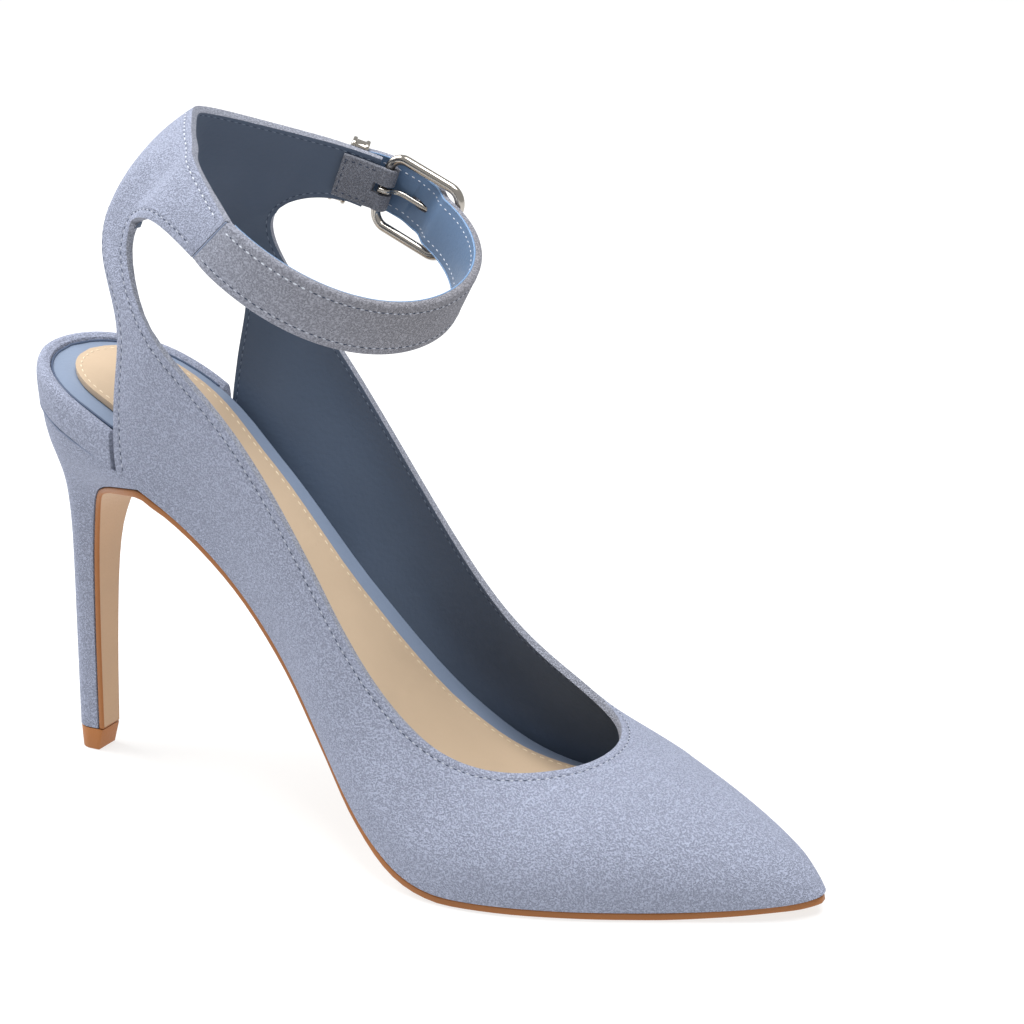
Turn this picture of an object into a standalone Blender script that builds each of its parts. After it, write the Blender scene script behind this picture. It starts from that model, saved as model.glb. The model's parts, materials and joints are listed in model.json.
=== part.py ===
"""Open-back ankle-strap pump with a stiletto heel, left shoe.

Lengths below are in millimetres and become metres when a mesh is made.
Before the last step x runs from the back of the seat to the toe, +y is the
outer (lateral) side, -y the inner (medial) side, and z = 0 is the floor.
"""
import math
from collections import namedtuple

import bmesh
import bpy
from mathutils import Matrix, Vector

MM = 0.001
SHARP_ANGLE = math.radians(40.0)   # edges of a mesh that bend more are drawn sharp

# Driving sizes
WALL = 1.9                  # suede and lining of the upper
SEAM_GAP = 0.3              # space kept between pieces that touch
FOOT_GAP = 0.36             # the upper's foot above the sole and heel
SOLE_THICK = 1.9            # outsole at the forepart
FLAP_THICK = 1.5            # outsole where it runs down the heel front
SOLE_INSET = 0.9            # outsole edge inside the upper's outline
TIP_TALL = 6.0              # top lift on the floor
SEAT_RIM_TALL = 9.6         # suede rim above the seam with the heel
SEAT_RIM_WIDE = 3.2
SEAT_END = 36.5             # front end of the suede seat rim
RIM_ROWS = 15               # rows of the rim on each side
STRAP_WIDE = 14.0
STRAP_THICK = 2.2

# Ring of the ankle band and strap: it leans forward and narrows to the back.
# Angles run round it from the centre back, in degrees.
RING_BACK = 49.7            # x of the band's top edge at the centre back
RING_FRONT = 117.2          # x of the strap's top edge at the centre front
RING_TOP = 172.2            # z of the band's top edge at the centre back
RING_LEAN = math.radians(29.2)
RING_TILT = math.radians(3.0)   # the medial side hangs lower
RING_HALF_WIDE = 36.0
RingSide = namedtuple("RingSide", "pinch sway")   # narrowing to the back; drop of the back half
MEDIAL_RING = RingSide(0.58, -2.2)
LATERAL_RING = RingSide(0.38, 2.2)
MEDIAL_SEAM_ANGLE = 82.0    # where the strap is sewn on
SEAM_SLANT = 3.5            # how far the seam's top lies ahead of its middle
BUCKLE_ANGLE = 85.0         # lateral side, where the buckle bar sits
ANGLE_STEP = 0.25           # step for walking round the ring

# Buckle, measured in its own frame: along the strap, outward, across the strap
FRAME_LONG = 21.6
FRAME_WIDE = 18.6
FRAME_ROUND = 4.0
FRAME_STEPS = 4             # straight runs in a corner
FRAME_EASE = 0.75           # room between the front bar and the strap under it
FRAME_WIRE = 1.25
PRONG_WIRE = 0.75
PRONG_REACH = 1.0           # prong past the middle of the front bar
PRONG_HOOK = 85.0           # degrees the prong's hook runs back under the bar
PRONG_STEPS = 5
PRONG_RISE = ((1.0, 0.7), (3.0, 1.0))   # past the hook, and share of the prong's height
SLOT_WIDE = 2.5             # slots that let the prong through
STRAP_SLOT = (4.5, 18.5)    # ends of the strap's slot, ahead of the bar
LOOP_SLOT = (-1.4, 6.6)     # ends of the loop's slot
SLOT_DEEP = 12.0
LOOP_WIDE = 11.4
LOOP_THICK = 1.1
LOOP_TAIL = 12.0            # loop's tail inside the band, behind the bar
LOOP_BEND = 3.0             # where the tail ends and the fold begins
LOOP_WRAP = 100.0           # degrees the fold runs each way from the bar's front
LOOP_EASE = 0.5             # extra room between tail and band
LOOP_STEPS = 5
KEEPER_BACK = 9.2           # keeper's middle behind the bar
KEEPER_LONG = 4.4
KEEPER_WIRE = 1.0
KEEPER_PLAY = 0.3
KEEPER_SIDE_PLAY = 0.9
KEEPER_ROUND = 1.1
KEEPER_STEPS = 3
FREE_END = 41.0             # strap past the bar, along the band
FREE_SINK = 2.2             # how far the free end hangs below the band's top edge
BAND_SWELL = 1.0            # room for the band's swell under the free end
BAND_STOP = 0.3             # extra room between the band's end and the loop
SLANT_ROWS = 6.0            # rows of the strap over which its slanted end straightens
FRONT_ROWS = 18             # rows of the strap from the medial seam to the centre front
SIDE_ROWS = 46              # rows from there to the free end
KEEPER_EASE = 0.2           # extra room under the strap at the keeper
HALF_TURN = 180.0
StrapGuide = namedtuple("StrapGuide", "gone proud")
STRAP_ENTRY = 3.0           # behind the front bar, where the strap starts to turn out
STRAP_CLIMB = StrapGuide(10.0, 2.9)   # a place behind the front bar on its way out
STRAP_LEVEL = 6.0           # ahead of the rear bar, where it is level with its loop
StrapPoint = namedtuple("StrapPoint", "thick wide")
STRAP_SECTION = [
    StrapPoint(1.0, -0.9), StrapPoint(1.0, 0.9), StrapPoint(0.4, 1.0), StrapPoint(-0.4, 1.0),
    StrapPoint(-1.0, 0.9), StrapPoint(-1.0, -0.9), StrapPoint(-0.4, -1.0), StrapPoint(0.4, -1.0),
]

HALVINGS = 40               # halvings that find a place along the bottom
ARC_STEPS = 40              # straight runs that measure an arc

# Outline and seam line of the bottom, a row for each section from seat to toe
Station = namedtuple("Station", "x z middle half")
STATIONS = [
    Station(2.6, 102.3, 0.0, 0.0),
    Station(4.8, 101.7, 0.0, 10.6),
    Station(10.6, 99.6, 0.0, 19.0),
    Station(19.6, 96.1, 0.0, 24.4),
    Station(31.0, 90.8, 0.0, 26.0),
    Station(43.0, 83.8, -0.2, 25.2),
    Station(56.0, 73.6, 0.2, 23.0),
    Station(69.0, 60.6, 0.6, 22.2),
    Station(82.0, 45.0, 0.8, 24.0),
    Station(94.5, 29.0, 0.8, 28.6),
    Station(107.0, 14.9, 0.4, 34.4),
    Station(119.5, 5.4, 0.0, 38.4),
    Station(132.5, 1.9, -0.3, 39.2),
    Station(148.0, 1.9, -0.4, 36.6),
    Station(164.5, 1.9, -0.7, 30.6),
    Station(179.5, 1.9, -1.2, 23.2),
    Station(192.5, 2.5, -1.8, 16.0),
    Station(203.0, 3.4, -2.4, 9.6),
    Station(209.6, 4.2, -2.8, 5.1),
    Station(213.0, 4.7, -2.8, 0.0),
]

# Ribs of the upper from the back edge of the strip to the toe.
# foot_x lies on the outline; top is the edge of the wall; rise, swell, reach
# and drop shape the rib between them.
Rib = namedtuple("Rib", "foot_x top_x medial_z lateral_z medial lateral rise swell reach drop")
RIBS = [
    Rib(37.5, 42.0, 126.0, 127.0, 27.6, 27.0, 14.0, 1.0, 0.8, 14.0),
    Rib(44.5, 49.5, 124.0, 125.0, 30.6, 30.0, 14.0, 1.5, 1.2, 14.0),
    Rib(52.0, 57.0, 121.0, 122.0, 31.6, 31.5, 14.0, 2.0, 1.4, 14.0),
    Rib(64.0, 71.0, 107.5, 104.5, 31.5, 31.2, 13.0, 3.0, 2.0, 12.0),
    Rib(77.0, 87.0, 87.0, 82.0, 31.5, 30.8, 12.0, 4.0, 2.5, 10.0),
    Rib(91.0, 102.0, 62.0, 60.5, 32.0, 30.8, 12.0, 4.5, 3.0, 10.0),
    Rib(108.5, 118.0, 41.0, 42.5, 31.5, 30.6, 11.0, 4.5, 4.0, 8.5),
    Rib(132.0, 135.5, 30.6, 32.6, 28.0, 28.0, 10.0, 4.0, 6.5, 6.5),
    Rib(161.0, 149.4, 28.8, 29.4, 19.0, 19.5, 8.5, 4.0, 12.0, 4.6),
    Rib(189.0, 156.2, 28.8, 29.0, 10.2, 9.5, 7.0, 3.5, 19.0, 3.4),
    Rib(213.0, 158.4, 29.0, 29.0, 0.6, -0.6, 5.4, 3.0, 26.0, 3.4),
]
FIT_PASSES = 12             # corrections that bring the smooth wall onto its ribs

# Columns of the band on each side: centre back, shoulder, three of the strip,
# the front of the strip, and where the band is plain. depth is below its top
# edge, flare is how far its lower edge stands out, and belly is how far the
# middle of its height stands out of the straight line between the edges.
BandColumn = namedtuple("BandColumn", "angle depth flare belly")
CENTRE_BACK = BandColumn(0.0, 15.0, 2.0, 1.6)
MEDIAL_BAND = [
    CENTRE_BACK, BandColumn(18.0, 20.5, 5.6, 2.8), BandColumn(34.0, 27.5, 10.5, 3.2),
    BandColumn(42.0, 29.0, 10.4, 2.4), BandColumn(50.0, 26.5, 6.8, 1.4), BandColumn(59.0, 16.3, 5.6, 0.4),
    BandColumn(72.0, STRAP_WIDE, 0.6, 0.0), BandColumn(78.0, STRAP_WIDE, 0.0, 0.0),
]
LATERAL_BAND = [
    CENTRE_BACK, BandColumn(18.0, 19.5, 5.0, 1.0), BandColumn(36.0, 33.5, 10.0, 0.0),
    BandColumn(46.0, 33.0, 8.0, 0.0), BandColumn(56.0, 26.0, 5.0, 0.0), BandColumn(66.0, 15.5, 0.4, 0.0),
    BandColumn(72.0, STRAP_WIDE, 0.0, 0.0),
]
SHOULDER, STRIP_FIRST, STRIP_LAST, STRIP_FRONT = 1, 2, 4, 5   # rows of those tables
STRIP_WAIST = 3.0           # how far the strip swings back between wall and band

# Heel, a row for each D-shaped section from tip to seat
HeelRow = namedtuple("HeelRow", "back_x back_z front_x front_z half")
HEEL = [
    HeelRow(2.0, 6.3, 9.4, 6.3, 3.8),
    HeelRow(2.8, 30.0, 10.5, 30.0, 4.2),
    HeelRow(3.7, 53.0, 12.2, 53.0, 4.9),
    HeelRow(4.2, 66.0, 14.4, 66.0, 6.3),
    HeelRow(4.4, 76.5, 18.0, 74.6, 9.4),
    HeelRow(4.2, 85.5, 25.0, 79.0, 15.2),
    HeelRow(3.5, 94.0, 34.5, 81.8, 21.4),
    HeelRow(2.8, 101.9, 43.0, 83.4, 25.2),
]
D_ROUND = 0.6               # share of a heel section's length that is rounded
D_TURN = 0.75               # share of a heel section's points on its round
D_TAPER = 0.03              # how much narrower a heel section is at its front
D_POINTS = 21
TIP_TUCK = 0.2              # how much smaller the top lift is at the floor
HEEL_STEPS = 3              # rings between two rows of the heel table
FLAP_SHARE = 0.97           # width of the sole on the heel front, share of the heel
FLAP_BEND = 1.5             # where the sole starts to turn down the heel front
THINNING_STEPS = 6.0        # rings over which the sole thins there
SOLE_ROWS = 62
TOE_CUT = 0.02              # share of a station left off at the sole's toe

# Insole and sock: heights above the seam line and inset from the outline
Layer = namedtuple("Layer", "x under over inset")
INSOLE = [
    Layer(0.0, 0.4, 8.8, 3.7),
    Layer(38.0, 0.5, 8.8, 3.5),
    Layer(58.0, 0.7, 7.0, 3.2),
    Layer(82.0, 0.8, 4.8, 3.0),
    Layer(106.0, 0.8, 3.6, 3.0),
    Layer(186.0, 0.4, 3.2, 3.2),
    Layer(213.0, 0.4, 3.0, 5.0),
]
SOCK = [
    Layer(0.0, 9.1, 10.8, 9.5),
    Layer(38.0, 9.1, 10.8, 9.0),
    Layer(58.0, 7.3, 9.1, 9.4),
    Layer(82.0, 5.2, 7.0, 10.2),
    Layer(106.0, 4.0, 5.6, 10.4),
    Layer(186.0, 3.5, 5.0, 6.0),
    Layer(213.0, 3.3, 4.6, 8.0),
]
LAYER_ROWS = 62
END_CUT = 0.06              # share of a station left off at the ends of a layer
NARROWEST = 0.5             # sections narrower than this are left out

# Section of the seat rim: growth from the outline and share of the rim's height
RimPoint = namedtuple("RimPoint", "grow rise")
RIM_SECTION = [
    RimPoint(0.0, 0.0), RimPoint(0.3, 0.5), RimPoint(0.2, 0.86), RimPoint(-0.6, 1.0),
    RimPoint(-1.9, 1.0), RimPoint(-SEAT_RIM_WIDE, 0.9), RimPoint(-SEAT_RIM_WIDE, 0.0),
]

Finish = namedtuple("Finish", "colour roughness metallic")
FINISHES = {
    "suede": Finish((0.37, 0.44, 0.60, 1.0), 0.95, 0.0),
    "insole_leather": Finish((0.30, 0.38, 0.54, 1.0), 0.5, 0.0),
    "sock_leather": Finish((0.70, 0.55, 0.37, 1.0), 0.5, 0.0),
    "sole_leather": Finish((0.45, 0.30, 0.16, 1.0), 0.45, 0.0),
    "tip_rubber": Finish((0.38, 0.15, 0.04, 1.0), 0.5, 0.0),
    "nickel": Finish((0.75, 0.72, 0.66, 1.0), 0.2, 1.0),
}


def hermite(before, start, end, after, share):
    """Point on the Catmull-Rom curve between start and end."""
    square = share * share
    cube = square * share
    return 0.5 * (2.0 * start + (end - before) * share
                  + (2.0 * before - 5.0 * start + 4.0 * end - after) * square
                  + (3.0 * (start - end) + after - before) * cube)


def station(place):
    """Station at a fractional row; the outline runs square across both ends."""
    last = len(STATIONS) - 1
    row = min(int(place), last - 1)
    share = place - row
    mirror_half = -1.0

    def column(name):
        values = [getattr(item, name) for item in STATIONS]
        sign = mirror_half if name == "half" else 1.0
        before = values[row - 1] if row > 0 else sign * values[1]
        after = values[row + 2] if row + 2 <= last else sign * values[last - 1]
        return hermite(before, values[row], values[row + 1], after, share)

    height = max(SOLE_THICK, column("z"))
    return Station(column("x"), height, column("middle"), column("half"))


def place_at(x):
    """Fractional row whose section lies at x."""
    low, high = 0.0, float(len(STATIONS) - 1)
    for _ in range(HALVINGS):
        middle = 0.5 * (low + high)
        if station(middle).x < x:
            low = middle
        else:
            high = middle
    return 0.5 * (low + high)


def seam_z(x):
    """Height of the line where the upper meets the sole or heel."""
    return station(place_at(x)).z


def outline_point(place, side, grow=0.0):
    """Outline at a fractional row; side is -1 medial or +1 lateral."""
    step = 0.02
    here = station(place)
    ahead = station(min(place + step, len(STATIONS) - 1.0))
    behind = station(max(place - step, 0.0))
    run = Vector((ahead.x - behind.x, side * (ahead.half - behind.half), 0.0))
    out = Vector((-side * run.y, side * run.x, 0.0))
    if place >= len(STATIONS) - 1.0:
        out = Vector((1.0, 0.0, 0.0))
    out.normalize()
    if out.y * side < 0.0:
        out.negate()
    point = Vector((here.x, here.middle + side * here.half, here.z))
    return point + grow * out, out


def new_object(name, mesh, finish, collection):
    """Object in the shoe's collection with one plain material."""
    thing = bpy.data.objects.new(name, mesh)
    material = bpy.data.materials.get(finish)
    if material is None:
        values = FINISHES[finish]
        material = bpy.data.materials.new(finish)
        material.use_nodes = True
        shader = material.node_tree.nodes["Principled BSDF"]
        shader.inputs["Base Color"].default_value = values.colour
        shader.inputs["Roughness"].default_value = values.roughness
        shader.inputs["Metallic"].default_value = values.metallic
    mesh.materials.clear()
    mesh.materials.append(material)
    collection.objects.link(thing)
    return thing


def mesh_from(name, points, faces):
    """Mesh in metres from millimetre points, with its faces turned outward."""
    mesh = bpy.data.meshes.new(name)
    mesh.from_pydata([point * MM for point in points], [], faces)
    form = bmesh.new()
    form.from_mesh(mesh)
    bmesh.ops.recalc_face_normals(form, faces=form.faces)
    form.to_mesh(mesh)
    form.free()
    mesh.shade_smooth()
    mesh.set_sharp_from_angle(angle=SHARP_ANGLE)
    return mesh


def loft(name, rings, cyclic=False):
    """Closed skin over rings of equal length, capped or run back to its start."""
    count = len(rings[0])
    points = [point for ring in rings for point in ring]
    faces = []
    for row in range(len(rings) if cyclic else len(rings) - 1):
        first = row * count
        second = (row + 1) % len(rings) * count
        for spot in range(count):
            after = (spot + 1) % count
            faces.append((first + spot, first + after, second + after, second + spot))
    if not cyclic:
        faces.append(tuple(reversed(range(count))))
        faces.append(tuple(range(len(points) - count, len(points))))
    return mesh_from(name, points, faces)


def ring_axes():
    """Directions of the ankle ring: front, lateral and up its own axis."""
    front = Vector((math.cos(RING_LEAN), 0.0, -math.sin(RING_LEAN)))
    lateral = Vector((0.0, math.cos(RING_TILT), math.sin(RING_TILT)))
    axis = front.cross(lateral).normalized()
    return front, axis.cross(front), axis


def ring_spot(angle, side):
    """Top edge of the ring at an angle, in the middle of the band's wall."""
    turn = math.radians(angle)
    front, lateral, axis = ring_axes()
    half_long = 0.5 * (RING_FRONT - RING_BACK) / math.cos(RING_LEAN)
    centre = Vector((RING_BACK, 0.0, RING_TOP)) + half_long * front
    shape = MEDIAL_RING if side < 0.0 else LATERAL_RING
    half_wide = RING_HALF_WIDE * (1.0 - shape.pinch * max(0.0, math.cos(turn)) ** 2)
    return (centre - half_long * math.cos(turn) * front + half_wide * math.sin(turn) * side * lateral
            - shape.sway * math.sin(2.0 * turn) * axis)


def ring_out(angle, side):
    """Outward direction of the ring, square to its axis."""
    run = ring_spot(angle + ANGLE_STEP, side) - ring_spot(angle - ANGLE_STEP, side)
    return side * ring_axes()[2].cross(run).normalized()


def ring_point(angle, side, depth, proud=0.0):
    """Point on the ankle ring.

    depth runs down the band from its top edge, and proud runs outward from
    the middle of the band's wall.
    """
    return ring_spot(angle, side) - depth * ring_axes()[2] + proud * ring_out(angle, side)


def band_columns(side):
    return MEDIAL_BAND if side < 0.0 else LATERAL_BAND


def band_flare(angle, side, depth):
    """How far the band stands out from the plain ring at a depth."""
    columns = band_columns(side)
    for first, second in zip(columns, columns[1:]):
        if angle <= second.angle:
            share = max(0.0, angle - first.angle) / (second.angle - first.angle)
            slopes = [column.flare / column.depth for column in (first, second)]
            return depth * (slopes[0] + (slopes[1] - slopes[0]) * share)
    return 0.0


def band_point(angle, side, depth, proud=0.0):
    """Point on the flared band, or on the plain ring in front of it."""
    return ring_point(angle, side, depth, proud + band_flare(angle, side, depth))


def ring_angle(start, length, side):
    """Angle reached after going length millimetres round from start."""
    step = math.copysign(ANGLE_STEP, length)
    angle, gone = start, 0.0
    while gone < abs(length):
        gone += (ring_point(angle + step, side, 0.0) - ring_point(angle, side, 0.0)).length
        angle += step
    return angle


def rib_points(rib, side):
    """Four points up a rib: foot, two on the wall, and the top edge."""
    place = place_at(rib.foot_x)
    foot, out = outline_point(place, side)
    half, height = (rib.medial, rib.medial_z) if side < 0.0 else (rib.lateral, rib.lateral_z)
    top = Vector((rib.top_x, side * half, height))
    up = Vector((0.0, 0.0, 1.0))
    low = foot + rib.rise * up + rib.swell * out
    high = top + rib.reach * out - rib.drop * up
    points = []
    for share in (0.0, 1.0 / 3.0, 2.0 / 3.0, 1.0):
        rest = 1.0 - share
        points.append(rest ** 3 * foot + 3.0 * rest ** 2 * share * low
                      + 3.0 * rest * share ** 2 * high + share ** 3 * top)
    return points


def upper_cage():
    """Points, faces and foot points of the upper's outer surface."""
    points, faces, feet = [], [], []
    half_wall = 0.5 * WALL

    def add(point):
        points.append(point)
        return len(points) - 1

    toe = [add(point) for point in rib_points(RIBS[-1], -1.0)]

    def add_column(column, side):
        rows = ((1.0, 0.0), (0.5, column.belly), (0.0, 0.0))
        return [add(band_point(column.angle, side, share * column.depth, half_wall + belly))
                for share, belly in rows]

    back = add_column(CENTRE_BACK, -1.0)
    for side, end_angle, slant in ((-1.0, MEDIAL_SEAM_ANGLE, SEAM_SLANT), (1.0, band_end_angle(), 0.0)):
        ribs = [[add(point) for point in rib_points(rib, side)] for rib in RIBS[:-1]] + [toe]
        for first, second in zip(ribs, ribs[1:]):
            faces += [(first[row], second[row], second[row + 1], first[row + 1]) for row in range(3)]
        feet += [rib[0] for rib in ribs]
        strip = []
        columns = band_columns(side)
        for rib, column in zip(ribs, columns[STRIP_FIRST:STRIP_LAST + 1]):
            join = band_point(column.angle, side, column.depth, half_wall)
            waist = 0.5 * (points[rib[3]] + join) - Vector((STRIP_WAIST, 0.0, 0.0))
            strip.append([rib[3], add(waist)] + add_column(column, side))
        shoulder = add_column(columns[SHOULDER], side)
        corner = add_column(columns[STRIP_FRONT], side)
        end = [add(band_point(end_angle + lean * slant, side, share * STRAP_WIDE, half_wall))
               for share, lean in ((1.0, -1.0), (0.5, 0.0), (0.0, 1.0))]
        band = [back, shoulder, strip[0][2:]]
        front = [strip[-1][2:], corner, end]
        for run in (strip, band, front):
            for first, second in zip(run, run[1:]):
                faces += [(first[row], second[row], second[row + 1], first[row + 1])
                          for row in range(len(first) - 1)]
    return points, faces, sorted(set(feet))


def smooth_surface(name, points, faces, feet, collection):
    """Open smooth surface that passes through the cage's own points."""
    mesh = mesh_from(name + "_cage", points, faces)
    cage = bpy.data.objects.new(name + "_cage", mesh)
    collection.objects.link(cage)
    cage.vertex_groups.new(name="feet").add(feet, 1.0, "REPLACE")
    subdivide = cage.modifiers.new("smooth", "SUBSURF")
    subdivide.levels = 2
    subdivide.render_levels = 2
    subdivide.boundary_smooth = "PRESERVE_CORNERS"
    targets = [point * MM for point in points]
    for _ in range(FIT_PASSES):
        bpy.context.view_layer.update()
        smooth = cage.evaluated_get(bpy.context.evaluated_depsgraph_get()).data
        misses = [target - smooth.vertices[spot].co for spot, target in enumerate(targets)]
        for vertex, miss in zip(mesh.vertices, misses):
            vertex.co = vertex.co + miss
        mesh.update()
    bpy.context.view_layer.update()
    graph = bpy.context.evaluated_depsgraph_get()
    surface = bpy.data.meshes.new_from_object(cage.evaluated_get(graph), preserve_all_data_layers=True,
                                              depsgraph=graph)
    surface.name = name
    full = 0.999
    for vertex in surface.vertices:
        if any(group.weight > full for group in vertex.groups):
            vertex.co.z = (seam_z(vertex.co.x / MM) + FOOT_GAP) * MM
    bpy.data.objects.remove(cage)
    return surface


def build_upper(collection):
    """One wall of even thickness, its foot at the toe level with the sole."""
    points, faces, feet = upper_cage()
    surface = smooth_surface("upper", points, faces, feet, collection)
    upper = new_object("upper", surface, "suede", collection)
    shell = upper.modifiers.new("wall", "SOLIDIFY")
    shell.thickness = WALL * MM
    shell.offset = -1.0
    shell.use_even_offset = True
    bpy.context.view_layer.update()
    graph = bpy.context.evaluated_depsgraph_get()
    wall = bpy.data.meshes.new_from_object(upper.evaluated_get(graph), depsgraph=graph)
    upper.modifiers.clear()
    upper.data = wall
    for vertex in wall.vertices:
        x = vertex.co.x / MM
        if x > RIBS[-2].foot_x:
            lowest = seam_z(min(x, STATIONS[-1].x)) + FOOT_GAP
            vertex.co.z = max(vertex.co.z, lowest * MM)
    return upper


def spread(start, end, count):
    """Evenly spaced values with both ends."""
    return [start + (end - start) * step / (count - 1) for step in range(count)]


def eased(share):
    """Share that starts and ends gently."""
    return share * share * (3.0 - 2.0 * share)


def heel_value(table, step):
    """Value part of the way between rows of a heel table."""
    last = len(table) - 1
    row = min(step // HEEL_STEPS, last - 1)
    quad = [table[max(row - 1, 0)], table[row], table[row + 1], table[min(row + 2, last)]]
    return hermite(*quad, step / HEEL_STEPS - row)


def build_outsole(collection):
    """Ribbon from the toe to the seat, then down the heel front."""
    rows = []
    toe = len(STATIONS) - 1.0
    for place in spread(toe - TOE_CUT, place_at(HEEL[-1].front_x + FLAP_BEND), SOLE_ROWS):
        medial, _ = outline_point(place, -1.0, -SOLE_INSET)
        lateral, _ = outline_point(place, 1.0, -SOLE_INSET)
        if lateral.y - medial.y > NARROWEST:
            rows.append((medial, lateral, SOLE_THICK))
    under_sole = len(rows) - 2
    fronts = [Vector((row.front_x, 0.0, row.front_z)) for row in reversed(HEEL)]
    halves = [row.half for row in reversed(HEEL)]
    for step in range(1, HEEL_STEPS * (len(HEEL) - 1) + 1):
        spot = heel_value(fronts, step)
        across = Vector((0.0, FLAP_SHARE * heel_value(halves, step), 0.0))
        thick = SOLE_THICK + (FLAP_THICK - SOLE_THICK) * min(1.0, step / THINNING_STEPS)
        rows.append((spot - across, spot + across, thick))
    middles = [0.5 * (medial + lateral) for medial, lateral, _ in rows]
    rings = []
    for spot, (medial, lateral, thick) in enumerate(rows):
        run_on = middles[min(spot + 1, len(rows) - 1)] - middles[max(spot - 1, 0)]
        down = Vector((-run_on.z, 0.0, run_on.x))
        down.normalize()
        off = SEAM_GAP * down if spot >= under_sole else Vector()
        under = off + thick * down
        rings.append([medial + off, lateral + off, lateral + under, medial + under])
    return new_object("outsole", loft("outsole", rings), "sole_leather", collection)


def d_ring(row):
    """D-shaped heel section: round behind, flat in front."""
    ring = []
    for share in spread(-1.0, 1.0, D_POINTS):
        side = math.copysign(1.0, share)
        reach = abs(share)
        if reach < D_TURN:
            turn = reach / D_TURN * 0.5 * math.pi
            along = D_ROUND * (1.0 - math.cos(turn))
            across = math.sin(turn)
        else:
            past = (reach - D_TURN) / (1.0 - D_TURN)
            along = D_ROUND + (1.0 - D_ROUND) * past
            across = 1.0 - D_TAPER * past
        ring.append(Vector((row.back_x + (row.front_x - row.back_x) * along, side * across * row.half,
                            row.back_z + (row.front_z - row.back_z) * along)))
    return ring


def build_heel(collection):
    columns = list(zip(*HEEL))
    rings = [d_ring(HeelRow(*(heel_value(column, step) for column in columns)))
             for step in range(HEEL_STEPS * (len(HEEL) - 1) + 1)]
    for point in rings[-1]:
        point.z = seam_z(point.x) - SEAM_GAP
    heel = new_object("heel", loft("heel", rings), "suede", collection)
    foot = HEEL[0]
    bottom = HeelRow(foot.back_x + 2.0 * TIP_TUCK, 0.0, foot.front_x - TIP_TUCK, 0.0, foot.half - TIP_TUCK)
    top = HeelRow(foot.back_x, TIP_TALL, foot.front_x + FLAP_THICK, TIP_TALL, foot.half)
    new_object("heel_tip", loft("heel_tip", [d_ring(bottom), d_ring(top)]), "tip_rubber", collection)
    return heel


def build_seat_rim(collection):
    """Suede-covered rim round the open seat, rounded along its top."""
    places = spread(place_at(SEAT_END), 0.0, RIM_ROWS)
    path = [(place, -1.0) for place in places] + [(place, 1.0) for place in reversed(places[:-1])]
    tall = SEAT_RIM_TALL - SEAM_GAP
    rings = []
    for place, side in path:
        ring = []
        for grow, rise in RIM_SECTION:
            point, _ = outline_point(place, side, grow)
            point.z = station(place).z + SEAM_GAP + rise * tall
            ring.append(point)
        rings.append(ring)
    return new_object("seat_rim", loft("seat_rim", rings), "suede", collection)


def layer_value(layers, column, x):
    """Column of a layer table at x, eased from row to row."""
    if x <= layers[0].x:
        return getattr(layers[0], column)
    for first, second in zip(layers, layers[1:]):
        if x <= second.x:
            low, high = getattr(first, column), getattr(second, column)
            return low + (high - low) * eased((x - first.x) / (second.x - first.x))
    return getattr(layers[-1], column)


def build_layer(name, layers, finish, collection):
    """Insole or sock: a sheet over the bottom with its own inset and thickness."""
    last = len(STATIONS) - 1.0
    rings = []
    for place in spread(END_CUT, last - END_CUT, LAYER_ROWS):
        x = station(place).x
        inset = layer_value(layers, "inset", x)
        medial, _ = outline_point(place, -1.0, -inset)
        lateral, _ = outline_point(place, 1.0, -inset)
        if lateral.y - medial.y < NARROWEST or (rings and medial.x < rings[-1][0].x + NARROWEST):
            continue
        ring = []
        for edge, column in ((medial, "under"), (lateral, "under"), (lateral, "over"), (medial, "over")):
            height = seam_z(edge.x) + layer_value(layers, column, edge.x)
            ring.append(Vector((edge.x, edge.y, height)))
        rings.append(ring)
    return new_object(name, loft(name, rings), finish, collection)


def band_end_angle():
    """Where the band stops behind the loop on the buckle's bar."""
    stop = FRAME_WIRE + LOOP_THICK + 2.0 * SEAM_GAP + BAND_STOP
    return ring_angle(BUCKLE_ANGLE, -stop, 1.0)


def buckle_frame_matrix():
    """Own frame of the buckle: along the strap, outward, across the strap."""
    here = ring_point(BUCKLE_ANGLE, 1.0, 0.5 * STRAP_WIDE)
    reach = ring_angle(BUCKLE_ANGLE, FRAME_LONG, 1.0)
    lift = FRAME_WIRE + 0.5 * STRAP_THICK + FRAME_EASE
    there = ring_point(reach, 1.0, 0.5 * STRAP_WIDE, lift)
    along = (there - here).normalized()
    across = ring_axes()[2]
    across = (across - across.dot(along) * along).normalized()
    out = across.cross(along)
    if out.y < 0.0:
        out.negate()
    matrix = Matrix((along, out, across)).transposed().to_4x4()
    matrix.translation = here
    return matrix


def on_band():
    """How far the free end's middle lies outside the middle of the band's wall."""
    return 0.5 * WALL + 0.5 * STRAP_THICK + BAND_SWELL


def over_bar():
    """How far the strap's middle rides outside the bar, over the loop."""
    return FRAME_WIRE + LOOP_THICK + 0.5 * STRAP_THICK + 2.0 * SEAM_GAP


def over_keeper():
    """The strap's middle at the keeper, whose inner bar lies between strap and band."""
    return 0.5 * (WALL + STRAP_THICK) + SEAM_GAP + KEEPER_WIRE + KEEPER_PLAY + KEEPER_EASE


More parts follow.
